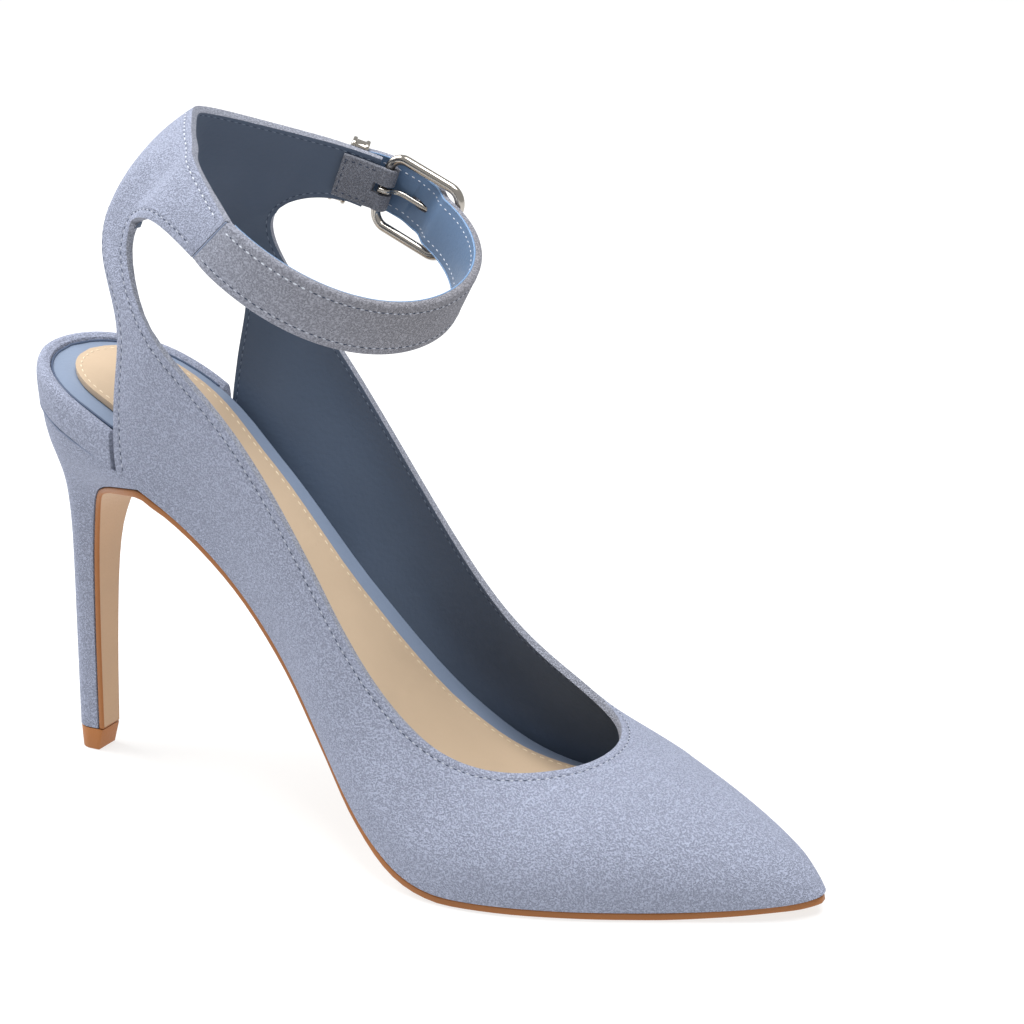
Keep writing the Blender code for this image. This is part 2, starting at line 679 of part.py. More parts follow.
def strap_proud(gone):
    """How far the strap's middle stands outside the ring, by the way gone past the bar."""
    guides = [
        StrapGuide(STRAP_ENTRY - FRAME_LONG, 0.0),
        StrapGuide(STRAP_CLIMB.gone - FRAME_LONG, STRAP_CLIMB.proud),
        StrapGuide(-STRAP_LEVEL, over_bar()),
        StrapGuide(0.0, over_bar()),
        StrapGuide(KEEPER_BACK, over_keeper()),
        StrapGuide(2.0 * KEEPER_BACK, on_band()),
    ]
    if gone <= guides[0].gone:
        return guides[0].proud
    for first, second in zip(guides, guides[1:]):
        if gone <= second.gone:
            share = eased((gone - first.gone) / (second.gone - first.gone))
            return first.proud + (second.proud - first.proud) * share
    return guides[-1].proud


def strap_sink(gone):
    """How far the strap lies below the ring's top edge, by the way gone past the bar."""
    return FREE_SINK * eased(min(1.0, max(0.0, gone) / (2.0 * KEEPER_BACK)))


def build_strap(collection):
    """Strap from the medial seam round the front, through the buckle and back."""
    start = ring_angle(MEDIAL_SEAM_ANGLE, 2.0 * SEAM_GAP, -1.0)
    Spot = namedtuple("Spot", "angle side proud sink slant")
    spots = [Spot(angle, -1.0, 0.0, 0.0, SEAM_SLANT * max(0.0, 1.0 - row / SLANT_ROWS))
             for row, angle in enumerate(spread(start, HALF_TURN, FRONT_ROWS))]
    for angle in spread(HALF_TURN, ring_angle(BUCKLE_ANGLE, -FREE_END, 1.0), SIDE_ROWS)[1:]:
        gone = math.copysign(arc_between(angle, BUCKLE_ANGLE), BUCKLE_ANGLE - angle)
        spots.append(Spot(angle, 1.0, strap_proud(gone), strap_sink(gone), 0.0))
    rings = []
    for spot in spots:
        ring = []
        for thick, wide in STRAP_SECTION:
            depth = 0.5 * STRAP_WIDE * (1.0 - wide) + spot.sink
            proud = spot.proud + 0.5 * STRAP_THICK * thick
            ring.append(band_point(spot.angle + spot.slant * wide, spot.side, depth, proud))
        rings.append(ring)
    return new_object("ankle_strap", loft("ankle_strap", rings), "suede", collection)


def arc_between(first, second):
    """Length round the ring between two angles on the lateral side."""
    angles = spread(first, second, ARC_STEPS)
    spots = [ring_point(angle, 1.0, 0.0) for angle in angles]
    return sum((after - before).length for before, after in zip(spots, spots[1:]))


def frame_point(frame, along, out, across):
    """World point from the buckle's own frame."""
    return frame @ Vector((along, out, across))


def wire(name, points, radius, cyclic, finish, collection):
    """Round wire along a path of straight runs."""
    curve = bpy.data.curves.new(name, "CURVE")
    curve.dimensions = "3D"
    curve.bevel_depth = radius * MM
    curve.bevel_resolution = 2
    curve.use_fill_caps = True
    spline = curve.splines.new("POLY")
    spline.points.add(len(points) - 1)
    for knot, point in zip(spline.points, points):
        knot.co = (*(point * MM), 1.0)
    spline.use_cyclic_u = cyclic
    return new_object(name, curve, finish, collection)


def rounded_corners(long, wide, radius, steps):
    """Points round a rectangle with rounded corners, measured from its middle."""
    pairs = []
    for quarter in range(4):
        way_x, way_y = ((1, 1), (-1, 1), (-1, -1), (1, -1))[quarter]
        for step in range(steps + 1):
            turn = 0.5 * math.pi * (quarter + step / steps)
            pairs.append((way_x * (0.5 * long - radius) + radius * math.cos(turn),
                          way_y * (0.5 * wide - radius) + radius * math.sin(turn)))
    return pairs


def cut_slot(name, frame, ends, target, cutters):
    """Slot for the prong, cut through target between two places along the buckle."""
    middle = (0.5 * (ends[0] + ends[1]), 0.0, 0.0)
    size = (ends[1] - ends[0], SLOT_DEEP, SLOT_WIDE)
    mesh = bpy.data.meshes.new(name)
    form = bmesh.new()
    bmesh.ops.create_cube(form, size=1.0)
    for vertex in form.verts:
        spot = [centre + vertex.co[axis] * size[axis] for axis, centre in enumerate(middle)]
        vertex.co = frame_point(frame, *spot) * MM
    bmesh.ops.recalc_face_normals(form, faces=form.faces)
    form.to_mesh(mesh)
    form.free()
    cutter = bpy.data.objects.new(name, mesh)
    cutters.objects.link(cutter)
    cutter.hide_render = True
    cutter.display_type = "WIRE"
    cut = target.modifiers.new(name, "BOOLEAN")
    cut.object = cutter
    cut.operation = "DIFFERENCE"
    return cutter


def build_buckle(collection, cutters, strap):
    frame = buckle_frame_matrix()
    corners = rounded_corners(FRAME_LONG, FRAME_WIDE, FRAME_ROUND, FRAME_STEPS)
    path = [frame_point(frame, 0.5 * FRAME_LONG + along, 0.0, across) for along, across in corners]
    wire("buckle_frame", path, FRAME_WIRE, True, "nickel", collection)
    ride = FRAME_WIRE + PRONG_WIRE + SEAM_GAP
    turns = [math.radians(turn) for turn in spread(-PRONG_HOOK, 0.0, PRONG_STEPS)]
    hook = [(ride * math.cos(turn), ride * math.sin(turn)) for turn in turns]
    shaft = [(ride + past, ride * share) for past, share in PRONG_RISE] + [(FRAME_LONG + PRONG_REACH, ride)]
    path = [frame_point(frame, along, out, 0.0) for along, out in hook + shaft]
    wire("buckle_prong", path, PRONG_WIRE, False, "nickel", collection)
    cut_slot("prong_slot", frame, STRAP_SLOT, strap, cutters)
    return frame


def build_loop(collection, cutters, frame):
    """Tab folded round the buckle's bar, with a tail inside the band."""
    ride = FRAME_WIRE + SEAM_GAP + 0.5 * LOOP_THICK
    under = 0.5 * WALL + SEAM_GAP + 0.5 * LOOP_THICK
    across = frame.col[2].to_3d()
    middles = []
    for back in spread(LOOP_TAIL, LOOP_BEND, LOOP_STEPS):
        angle = ring_angle(BUCKLE_ANGLE, -back, 1.0)
        middles.append(ring_point(angle, 1.0, 0.5 * STRAP_WIDE, -under - LOOP_EASE))
    for turn in spread(-LOOP_WRAP, LOOP_WRAP, 2 * LOOP_STEPS - 1):
        spot = math.radians(turn)
        middles.append(frame_point(frame, ride * math.cos(spot), ride * math.sin(spot), 0.0))
    rings = []
    for spot, middle in enumerate(middles):
        run = middles[min(spot + 1, len(middles) - 1)] - middles[max(spot - 1, 0)]
        out = run.cross(across).normalized()
        rings.append([middle + 0.5 * LOOP_THICK * thick * out + 0.5 * LOOP_WIDE * wide * across
                      for thick, wide in ((-1, -1), (-1, 1), (1, 1), (1, -1))])
    loop = new_object("buckle_loop", loft("buckle_loop", rings), "suede", collection)
    cut_slot("loop_slot", frame, LOOP_SLOT, loop, cutters)
    return loop


def build_keeper(collection):
    """Flat metal loop round the free end of the strap, its inner bar against the band."""
    angle = ring_angle(BUCKLE_ANGLE, -KEEPER_BACK, 1.0)
    axis = ring_axes()[2]
    out = ring_out(angle, 1.0)
    along = out.cross(axis)
    deep = STRAP_THICK + 2.0 * KEEPER_PLAY + KEEPER_WIRE
    wide = STRAP_WIDE + 2.0 * KEEPER_SIDE_PLAY + KEEPER_WIRE
    middle = ring_point(angle, 1.0, 0.5 * STRAP_WIDE + strap_sink(KEEPER_BACK), over_keeper())
    rings = []
    half = 0.5 * KEEPER_WIRE
    corners = rounded_corners(deep, wide, KEEPER_ROUND, KEEPER_STEPS)
    for spot, (reach, across) in enumerate(corners):
        ahead, behind = corners[(spot + 1) % len(corners)], corners[spot - 1]
        flow = Vector((ahead[0] - behind[0], ahead[1] - behind[1], 0.0)).normalized()
        normal = flow.y * out - flow.x * axis
        base = middle + reach * out + across * axis
        rings.append([base + half * side * normal + 0.5 * KEEPER_LONG * end * along
                      for side, end in ((-1, -1), (1, -1), (1, 1), (-1, 1))])
    return new_object("keeper", loft("keeper", rings, cyclic=True), "nickel", collection)


def stand_on_origin(collection):
    """Parent every piece to one empty that brings the shoe's box over the origin."""
    bpy.context.view_layer.update()
    graph = bpy.context.evaluated_depsgraph_get()
    spots = []
    for thing in collection.objects:
        shape = thing.evaluated_get(graph).to_mesh()
        spots += [vertex.co.copy() for vertex in shape.vertices]
        thing.evaluated_get(graph).to_mesh_clear()
    root = bpy.data.objects.new("shoe", None)
    for axis in (0, 1):
        values = [spot[axis] for spot in spots]
        root.location[axis] = -0.5 * (min(values) + max(values))
    for thing in list(bpy.data.objects):
        if thing is not root:
            thing.parent = root
    collection.objects.link(root)


def main():
    for thing in list(bpy.data.objects):
        bpy.data.objects.remove(thing)
    shoe = bpy.data.collections.new("high_heel_shoe")
    cutters = bpy.data.collections.new("cutters")
    for collection in (shoe, cutters):
        bpy.context.scene.collection.children.link(collection)
    build_upper(shoe)
    build_outsole(shoe)
    build_heel(shoe)
    build_seat_rim(shoe)
    build_layer("insole", INSOLE, "insole_leather", shoe)
    build_layer("sock", SOCK, "sock_leather", shoe)
    strap = build_strap(shoe)
    frame = build_buckle(shoe, cutters, strap)
    build_loop(shoe, cutters, frame)
    build_keeper(shoe)
    stand_on_origin(shoe)


main()
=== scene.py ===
import json
import math

import bmesh
import bpy
import numpy as np
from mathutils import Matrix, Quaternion, Vector
from mathutils.bvhtree import BVHTree
from mathutils.kdtree import KDTree

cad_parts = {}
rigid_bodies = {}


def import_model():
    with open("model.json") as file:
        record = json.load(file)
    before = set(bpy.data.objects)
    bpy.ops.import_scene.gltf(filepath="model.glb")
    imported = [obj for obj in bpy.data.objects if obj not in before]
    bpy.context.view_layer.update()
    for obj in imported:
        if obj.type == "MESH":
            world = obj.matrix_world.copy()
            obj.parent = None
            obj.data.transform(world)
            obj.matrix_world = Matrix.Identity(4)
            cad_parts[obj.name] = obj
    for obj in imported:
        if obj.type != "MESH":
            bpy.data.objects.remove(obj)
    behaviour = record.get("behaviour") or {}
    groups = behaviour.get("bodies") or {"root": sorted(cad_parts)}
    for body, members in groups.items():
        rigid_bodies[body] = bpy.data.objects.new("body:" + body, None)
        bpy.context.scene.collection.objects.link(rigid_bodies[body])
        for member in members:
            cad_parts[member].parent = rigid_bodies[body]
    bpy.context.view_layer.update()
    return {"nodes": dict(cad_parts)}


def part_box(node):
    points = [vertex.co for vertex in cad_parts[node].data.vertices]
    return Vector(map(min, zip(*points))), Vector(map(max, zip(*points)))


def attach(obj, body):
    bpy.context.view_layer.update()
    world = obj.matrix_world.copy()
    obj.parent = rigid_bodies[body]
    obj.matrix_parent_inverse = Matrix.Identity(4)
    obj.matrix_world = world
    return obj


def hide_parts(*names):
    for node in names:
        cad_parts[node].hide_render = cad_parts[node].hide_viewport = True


mm = 0.001

for thing in list(bpy.data.objects):
    bpy.data.objects.remove(thing)
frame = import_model()
nodes = frame["nodes"]
tipLow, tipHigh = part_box("heel_tip")
tipBack = 2.0  # x of the heel tip's back in the shoe's own sizes, which shift brings to the frame
shift = Vector((tipLow.x / mm - tipBack, 0.5 * (tipLow.y + tipHigh.y) / mm, 0.0))
print("frame loaded:", len(nodes), "nodes")


class Flow:
    # a socket that can be reckoned with
    def __init__(self, tree, socket=None):
        self.tree = tree
        self.socket = socket

    def node(self, kind, sets=None, values=None, out=0):
        made = self.tree.nodes.new(kind)
        for key, value in (sets or {}).items():
            setattr(made, key, value)
        for key, value in (values or {}).items():
            socket = made.inputs[key]
            if isinstance(value, Flow):
                self.tree.links.new(value.socket, socket)
            else:
                socket.default_value = value
        return Flow(self.tree, made.outputs[out])

    def math(self, operation, first, second=0.0):
        return self.node("ShaderNodeMath", {"operation": operation}, {0: first, 1: second})

    def __add__(self, other):
        return self.math("ADD", self, other)

    def __radd__(self, other):
        return self.math("ADD", other, self)

    def __sub__(self, other):
        return self.math("SUBTRACT", self, other)

    def __rsub__(self, other):
        return self.math("SUBTRACT", other, self)

    def __mul__(self, other):
        return self.math("MULTIPLY", self, other)

    def __rmul__(self, other):
        return self.math("MULTIPLY", other, self)

    def __truediv__(self, other):
        return self.math("DIVIDE", self, other)

    def __rtruediv__(self, other):
        return self.math("DIVIDE", other, self)

    def __abs__(self):
        return self.math("ABSOLUTE", self)

    def clip(self):
        return self.node("ShaderNodeClamp", None, {"Value": self})

    def mix(self, first, second):
        return self.node("ShaderNodeMix", {"data_type": "RGBA"}, {0: self, 6: first, 7: second}, 2)


def newMaterial(name, constants):
    material = bpy.data.materials.new(name)
    material.use_nodes = True
    shader = material.node_tree.nodes["Principled BSDF"]
    for key, value in constants.items():
        shader.inputs[key].default_value = value
    flow = Flow(material.node_tree)
    spot = flow.node("ShaderNodeTexCoord", out=3)
    return material, shader, flow, spot


def feed(flow, shader, links):
    for key, value in links.items():
        flow.tree.links.new(value.socket, shader.inputs[key])


def noise(spot, scale, detail=2.0, distortion=0.0):
    return spot.node("ShaderNodeTexNoise", None, {"Vector": spot, "Scale": scale, "Detail": detail,
                                                  "Distortion": distortion})


def bump(height, distance):
    return height.node("ShaderNodeBump", None, {"Height": height, "Distance": distance, "Strength": 1.0})


def shade(colour, factor):
    return (*[min(1.0, part * factor) for part in colour[:3]], 1.0)


# suede: short wormy nap, soft patches where the nap lies another way, a groove along the stitch line with
# painted shade darkening its trough
suedeLook = {"worm": 2500.0, "fibre": 4200.0, "patch": 55.0, "dark": 0.66, "light": 1.34,
             "depth": 0.17 * mm, "grooveWide": 0.8, "grooveDeep": 1.6, "groovePaintedShade": 0.2}


def napTone(spread, colour):
    return spread.mix(shade(colour, suedeLook["dark"]), shade(colour, suedeLook["light"]))


def suedeMaterial(name, colour, coarse=1.0, groove=0.0, fade=None):
    material, shader, flow, spot = newMaterial(name, {"Roughness": 0.92, "Sheen Weight": 0.3,
                                                      "Sheen Roughness": 0.45, "Specular IOR Level": 0.15,
                                                      "Sheen Tint": shade(colour, 1.4)})
    worm = ((noise(spot, suedeLook["worm"] / coarse, 0.0, 0.6) - 0.5) * 3.0 + 0.5).clip()
    fibre = noise(spot, suedeLook["fibre"], 1.0)
    patch = noise(spot, suedeLook["patch"], 3.0, 0.4)
    spread = (worm * 0.66 + fibre * 0.28 + patch * 0.14 - 0.04).clip()
    tone = napTone(spread, colour)
    if fade:  # greyer towards the shoe's front
        share = (spot.node("ShaderNodeSeparateXYZ", None, {0: spot}) - fade["start"]) / fade["long"]
        tone = share.clip().mix(tone, napTone(spread, fade["colour"]))
    height = worm + fibre * 0.45
    if groove:
        reach = flow.node("ShaderNodeAttribute", {"attribute_name": "edgeReach"}, out=2)
        trough = (1.0 - abs(reach - groove) / suedeLook["grooveWide"]).clip()
        height = height - trough * suedeLook["grooveDeep"]
        # painted shade: the tone is darkened inside the groove's trough
        tone = (trough * suedeLook["groovePaintedShade"]).mix(tone, shade(colour, 0.5))
    feed(flow, shader, {"Base Color": tone, "Normal": bump(height, suedeLook["depth"])})
    return material


# leather and lining: fine pebble grain, faint clouds, low gloss
leatherLook = {"clouds": 38.0, "cloud": 0.12, "depth": 0.05 * mm}


def leatherMaterial(name, colour, rough=0.5, grain=900.0):
    material, shader, flow, spot = newMaterial(name, {"Specular IOR Level": 0.4})
    pebble = spot.node("ShaderNodeTexVoronoi", {"feature": "SMOOTH_F1"}, {"Vector": spot, "Scale": grain})
    clouds = noise(spot, leatherLook["clouds"], 3.0, 0.3)
    cloud = leatherLook["cloud"]
    feed(flow, shader, {"Base Color": clouds.mix(shade(colour, 1.0 - cloud), shade(colour, 1.0 + cloud)),
                        "Roughness": rough + (clouds - 0.5) * 0.16,
                        "Normal": bump(pebble + noise(spot, 3.0 * grain) * 0.4, leatherLook["depth"])})
    return material


metalLook = {"haze": 240.0, "ripple": 420.0, "depth": 0.012 * mm}


def metalMaterial(name, colour, rough):
    material, shader, flow, spot = newMaterial(name, {"Metallic": 1.0})
    haze = noise(spot, metalLook["haze"], 3.0)
    tone = haze.mix(shade(colour, 0.94), shade(colour, 1.04))
    feed(flow, shader, {"Base Color": tone, "Roughness": rough + haze * 0.07,
                        "Normal": bump(noise(spot, metalLook["ripple"], 2.0), metalLook["depth"])})
    return material


threadLook = {"twist": 3800.0, "depth": 0.08 * mm}


def threadMaterial(name, colour):
    material, shader, flow, spot = newMaterial(name, {"Roughness": 0.8, "Sheen Weight": 0.2})
    twist = noise(spot, threadLook["twist"], 1.0)
    feed(flow, shader, {"Base Color": twist.mix(shade(colour, 0.8), shade(colour, 1.15)),
                        "Normal": bump(twist, threadLook["depth"])})
    return material


suedeBlue = (0.305, 0.332, 0.428, 1.0)
seamIn = 2.0  # from the upper's free edges to its seam line
suede = suedeMaterial("suedeNap", suedeBlue, groove=seamIn)
suedeEdge = suedeMaterial("suedeRolledEdge", (0.28, 0.295, 0.35, 1.0))
suedeHeel = suedeMaterial("suedeHeelCover", suedeBlue)
suedeStrap = suedeMaterial("suedeStrapNap", (0.30, 0.315, 0.38, 1.0), 1.1,
                           fade={"start": -0.03, "long": 0.035, "colour": (0.225, 0.225, 0.25, 1.0)})
suedeTab = suedeMaterial("suedeTabNap", (0.185, 0.193, 0.225, 1.0), 0.9)
lining = leatherMaterial("liningLeather", (0.07, 0.098, 0.15, 1.0), 0.48)
strapLining = leatherMaterial("strapLiningLeather", (0.105, 0.17, 0.28, 1.0), 0.4)
insoleLeather = leatherMaterial("insoleRimLeather", (0.22, 0.275, 0.38, 1.0), 0.42)
sockLeather = leatherMaterial("sockPadLeather", (0.54, 0.41, 0.285, 1.0), 0.5)
soleEdge = leatherMaterial("soleEdgeLeather", (0.33, 0.12, 0.028, 1.0), 0.42, 1300.0)
soleFace = leatherMaterial("soleFaceLeather", (0.50, 0.33, 0.20, 1.0), 0.45, 1300.0)
tipRubber = leatherMaterial("tipLiftRubber", (0.38, 0.14, 0.035, 1.0), 0.5, 1600.0)
nickel = metalMaterial("polishedNickel", (0.44, 0.41, 0.37, 1.0), 0.12)
pale = threadMaterial("paleThread", (0.62, 0.66, 0.74, 1.0))
tanThread = threadMaterial("tanThread", (0.80, 0.68, 0.50, 1.0))
# the pale thread darkened: painted shade on the stitches away from the lit top edges
paintedShadeThread = threadMaterial("paintedShadeThread", (0.46, 0.49, 0.57, 1.0))
seamFold = leatherMaterial("seamFoldBlue", (0.19, 0.23, 0.33, 1.0), 0.7)
liningRim = leatherMaterial("liningRim", (0.17, 0.29, 0.48, 1.0), 0.45)
navyThread = threadMaterial("navyThread", (0.15, 0.19, 0.26, 1.0))
# needle holes and slits are dark grains of painted shade, standing in for the shade inside the holes
dark = leatherMaterial("needleHolePaintedShade", (0.035, 0.05, 0.085, 1.0), 0.8)
piping = leatherMaterial("pipingDark", (0.07, 0.10, 0.17, 1.0), 0.5)
print("materials ready:", len(bpy.data.materials))


def place(name, mesh, materials, slot, *stands):
    thing = bpy.data.objects.new(name, mesh)
    bpy.context.scene.collection.objects.link(thing)
    for material in materials:
        mesh.materials.append(material)
    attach(thing, "root")
    if stands:
        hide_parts(*stands)
    return thing


def meshOf(name, points, faces, marks=None):
    mesh = bpy.data.meshes.new(name)
    mesh.from_pydata(points, [], faces)
    if marks:
        mesh.polygons.foreach_set("material_index", marks)
    form = bmesh.new()
    form.from_mesh(mesh)
    bmesh.ops.recalc_face_normals(form, faces=form.faces)
    form.to_mesh(mesh)
    form.free()
    mesh.shade_smooth()
    return mesh


def skin(name, shape, materials, slot, *stands):
    return place(name, meshOf(name, *shape), materials, slot, *stands)


# quads between rows of as many points each, closed at both ends or run back to the start
def skinFaces(rows, count, cyclic=False):
    faces = []
    for row in range(rows if cyclic else rows - 1):
        low, high = row * count, (row + 1) % rows * count
        for spot in range(count):
            after = (spot + 1) % count
            faces.append((low + spot, low + after, high + after, high + spot))
    if not cyclic:
        faces += [tuple(range(count)), tuple(range((rows - 1) * count, rows * count))]
    return faces


# skin round a path, flat gives the way of a section's first half size
def tube(path, halves, sides, flat, cyclic=False):
    points = []
    total = len(path)
    for spot, (point, (wide, tall)) in enumerate(zip(path, halves)):
        if cyclic:
            run = path[(spot + 1) % total] - path[spot - 1]
        else:
            run = path[min(spot + 1, total - 1)] - path[max(spot - 1, 0)]
        run.normalize()
        first = (flat - flat.dot(run) * run).normalized()
        second = run.cross(first)
        for side in range(sides):
            turn = 2.0 * math.pi * side / sides
            points.append(point + first * (wide * math.cos(turn)) + second * (tall * math.sin(turn)))
    return points, skinFaces(total, sides, cyclic)


def evenTube(path, radius, sides, flat, cyclic=False):
    return tube(path, [(radius * mm, radius * mm)] * len(path), sides, flat, cyclic)


# points round a rectangle with rounded corners
def corners(long, wide, radius, steps):
    pairs = []
    for quarter, (wayX, wayY) in enumerate(((1, 1), (-1, 1), (-1, -1), (1, -1))):
        for step in range(steps + 1):
            turn = 0.5 * math.pi * (quarter + step / steps)
            pairs.append((wayX * (0.5 * long - radius) + radius * math.cos(turn),
                          wayY * (0.5 * wide - radius) + radius * math.sin(turn)))
    return pairs


def formOf(node):
    form = bmesh.new()
    form.from_mesh(nodes[node].data)
    bmesh.ops.remove_doubles(form, verts=form.verts, dist=2e-6)
    return form


# sets of faces joined across edges that bend less than the limit, largest first
def faceGroups(form, limit=40.0):
    form.normal_update()
    groups, seen = [], set()
    for first in form.faces:
        if first in seen:
            continue
        group, waiting = [], [first]
        seen.add(first)
        while waiting:
            face = waiting.pop()
            group.append(face)
            for edge in face.edges:
                if len(edge.link_faces) == 2 and edge.calc_face_angle() < math.radians(limit):
                    for other in edge.link_faces:
                        if other not in seen:
                            seen.add(other)
                            waiting.append(other)
        groups.append(group)
    return sorted(groups, key=lambda group: -sum(face.calc_area() for face in group))


def treeOf(points):
    tree = KDTree(len(points))
    for spot, point in enumerate(points):
        tree.insert(point, spot)
    tree.balance()
    return tree


def applied(thing):
    bpy.context.view_layer.update()
    graph = bpy.context.evaluated_depsgraph_get()
    mesh = bpy.data.meshes.new_from_object(thing.evaluated_get(graph), depsgraph=graph)
    thing.modifiers.clear()
    thing.data = mesh
    return mesh


def modifier(thing, kind, **sets):
    made = thing.modifiers.new(kind.lower(), kind)
    for key, value in sets.items():
        setattr(made, key, value)


# small grains of one shape set along a path: stitches, needle holes, beads
def grains(name, spots, size, materials, slot, rings=4, sides=6):
    shape = []
    for ring in range(1, rings):
        lean = math.pi * ring / rings
        for side in range(sides):
            turn = 2.0 * math.pi * side / sides
            shape.append((math.cos(lean), math.sin(lean) * math.cos(turn), math.sin(lean) * math.sin(turn)))
    shape += [(1.0, 0.0, 0.0), (-1.0, 0.0, 0.0)]
    faces = skinFaces(rings - 1, sides)[:-2]
    last = (rings - 2) * sides
    for side in range(sides):
        after = (side + 1) % sides
        faces += [(len(shape) - 2, side, after), (len(shape) - 1, last + after, last + side)]
    points, allFaces = [], []
    long, wide, tall = size
    for middle, run, up in spots:
        across = up.cross(run)
        base = len(points)
        points += [middle + run * (long * first) + across * (wide * second) + up * (tall * third)
                   for first, second, third in shape]
        allFaces += [tuple(base + corner for corner in face) for face in faces]
    skin(name, (points, allFaces), materials, slot)


# even spots along a path of (point, normal), with the path's own direction
def along(path, pitch, start=0.5):
    spots, gone, wanted = [], 0.0, start * pitch
    for (first, firstUp), (second, secondUp) in zip(path, path[1:]):
        length = (second - first).length
        while length > 1e-9 and gone + length >= wanted:
            share = (wanted - gone) / length
            up = firstUp.lerp(secondUp, share).normalized()
            run = second - first
            run = (run - run.dot(up) * up).normalized()
            spots.append((first.lerp(second, share), run, up))
            wanted += pitch
        gone += length
    return spots


def smoothPath(path, passes):
    for _ in range(passes):
        middle = [(0.25 * before[0] + 0.5 * here[0] + 0.25 * after[0], here[1])
                  for before, here, after in zip(path, path[1:], path[2:])]
        path = [path[0]] + middle + [path[-1]]
    return path


# lines of one value across a mesh of triangles, each a path of (point, normal)
lineLook = {"fewest": 5, "closing": 2.0}


def contours(mesh, values, level, keep):
    mesh.calc_loop_triangles()
    spots, links = {}, {}
    for triangle in mesh.loop_triangles:
        cuts = []
        for first, second in ((0, 1), (1, 2), (2, 0)):
            low, high = sorted((triangle.vertices[first], triangle.vertices[second]))
            if (values[low] < level) != (values[high] < level):
                share = (level - values[low]) / (values[high] - values[low])
                start, end = mesh.vertices[low], mesh.vertices[high]
                up = start.normal.lerp(end.normal, share).normalized()
                spots[(low, high)] = (start.co.lerp(end.co, share), up)
                cuts.append((low, high))
        if len(cuts) == 2 and all(keep(spots[cut][0]) for cut in cuts):
            links.setdefault(cuts[0], []).append(cuts[1])
            links.setdefault(cuts[1], []).append(cuts[0])
    paths, used = [], set()
    for start in sorted(links, key=lambda key: (len(links[key]), key)):
        if start in used:
            continue
        path, here = [], start
        while here is not None:
            used.add(here)
            path.append(spots[here])
            here = next((other for other in links[here] if other not in used), None)
        if len(path) >= lineLook["fewest"]:
            if (path[0][0] - path[-1][0]).length < lineLook["closing"] * mm:
                path.append(path[0])
            paths.append(path)
    return paths


def boundaryLoops(mesh):
    counts = {}
    for polygon in mesh.polygons:
        for key in polygon.edge_keys:
            counts[key] = counts.get(key, 0) + 1
    links = {}
    for (first, second), count in counts.items():
        if count == 1:
            links.setdefault(first, []).append(second)
            links.setdefault(second, []).append(first)
    loops, used = [], set()
    for start in sorted(links):
        if start in used:
            continue
        loop, here = [], start
        while here is not None:
            used.add(here)
            loop.append(mesh.vertices[here].co.copy())
            here = next((other for other in links[here] if other not in used), None)
        loops.append(loop + [loop[0]])
    return loops


def dense(path, step):
    points = []
    for first, second in zip(path, path[1:]):
        count = max(1, math.ceil((second - first).length / step))
        points += [first.lerp(second, share / count) for share in range(count)]
    return points


# ring of the ankle band and strap, in the shoe's own sizes: it leans forward and narrows to the back
ring = {"back": 49.7, "front": 117.2, "top": 172.2, "lean": math.radians(29.2), "tilt": math.radians(3.0),
        "halfWide": 36.0, "pinch": {-1.0: 0.58, 1.0: 0.38}, "sway": {-1.0: -2.2, 1.0: 2.2},
        "seam": 82.0, "slant": 3.5, "bar": 85.0}
ringFront = Vector((math.cos(ring["lean"]), 0.0, -math.sin(ring["lean"])))
ringAxis = ringFront.cross(Vector((0.0, math.cos(ring["tilt"]), math.sin(ring["tilt"])))).normalized()
ringLateral = ringAxis.cross(ringFront)
ringHalf = 0.5 * (ring["front"] - ring["back"]) / math.cos(ring["lean"])
ringCentre = Vector((ring["back"], 0.0, ring["top"])) + ringHalf * ringFront
bandTable = {  # angle, depth, flare of the lower edge
    -1.0: [(0.0, 15.0, 2.0), (18.0, 20.5, 5.6), (34.0, 27.5, 10.5), (42.0, 29.0, 10.4), (50.0, 26.5, 6.8),
           (59.0, 16.3, 5.6), (72.0, 14.0, 0.6), (78.0, 14.0, 0.0)],
    1.0: [(0.0, 15.0, 2.0), (18.0, 19.5, 5.0), (36.0, 33.5, 10.0), (46.0, 33.0, 8.0), (56.0, 26.0, 5.0),
          (66.0, 15.5, 0.4), (72.0, 14.0, 0.0)]}


def ringSpot(angle, side):
    turn = math.radians(angle)
    wide = ring["halfWide"] * (1.0 - ring["pinch"][side] * max(0.0, math.cos(turn)) ** 2)
    return (ringCentre - ringHalf * math.cos(turn) * ringFront + wide * math.sin(turn) * side * ringLateral
            - ring["sway"][side] * math.sin(2.0 * turn) * ringAxis)


def ringOut(angle, side):
    run = ringSpot(angle + 0.25, side) - ringSpot(angle - 0.25, side)
    return side * ringAxis.cross(run).normalized()


def ringPoint(angle, side, depth, proud=0.0):
    return ringSpot(angle, side) - depth * ringAxis + proud * ringOut(angle, side)


def bandPoint(angle, side, depth, proud=0.0):
    flare = 0.0
    for first, second in zip(bandTable[side], bandTable[side][1:]):
        if angle <= second[0]:
            share = max(0.0, angle - first[0]) / (second[0] - first[0])
            low, high = first[2] / first[1], second[2] / second[1]
            flare = depth * (low + (high - low) * share)
            break
    return ringPoint(angle, side, depth, proud + flare)


def ringAngle(start, length, side):
    step = math.copysign(0.25, length)
    angle, gone = start, 0.0
    while gone < abs(length):
        gone += (ringPoint(angle + step, side, 0.0) - ringPoint(angle, side, 0.0)).length
        angle += step
    return angle


def world(point):
    return (point + shift) * mm


def ringPlace(point):
    local = point / mm - shift - ringCentre
    wide, long = abs(local.dot(ringLateral)) / ring["halfWide"], -local.dot(ringFront) / ringHalf
    return math.degrees(math.atan2(wide, long)), -local.dot(ringAxis)


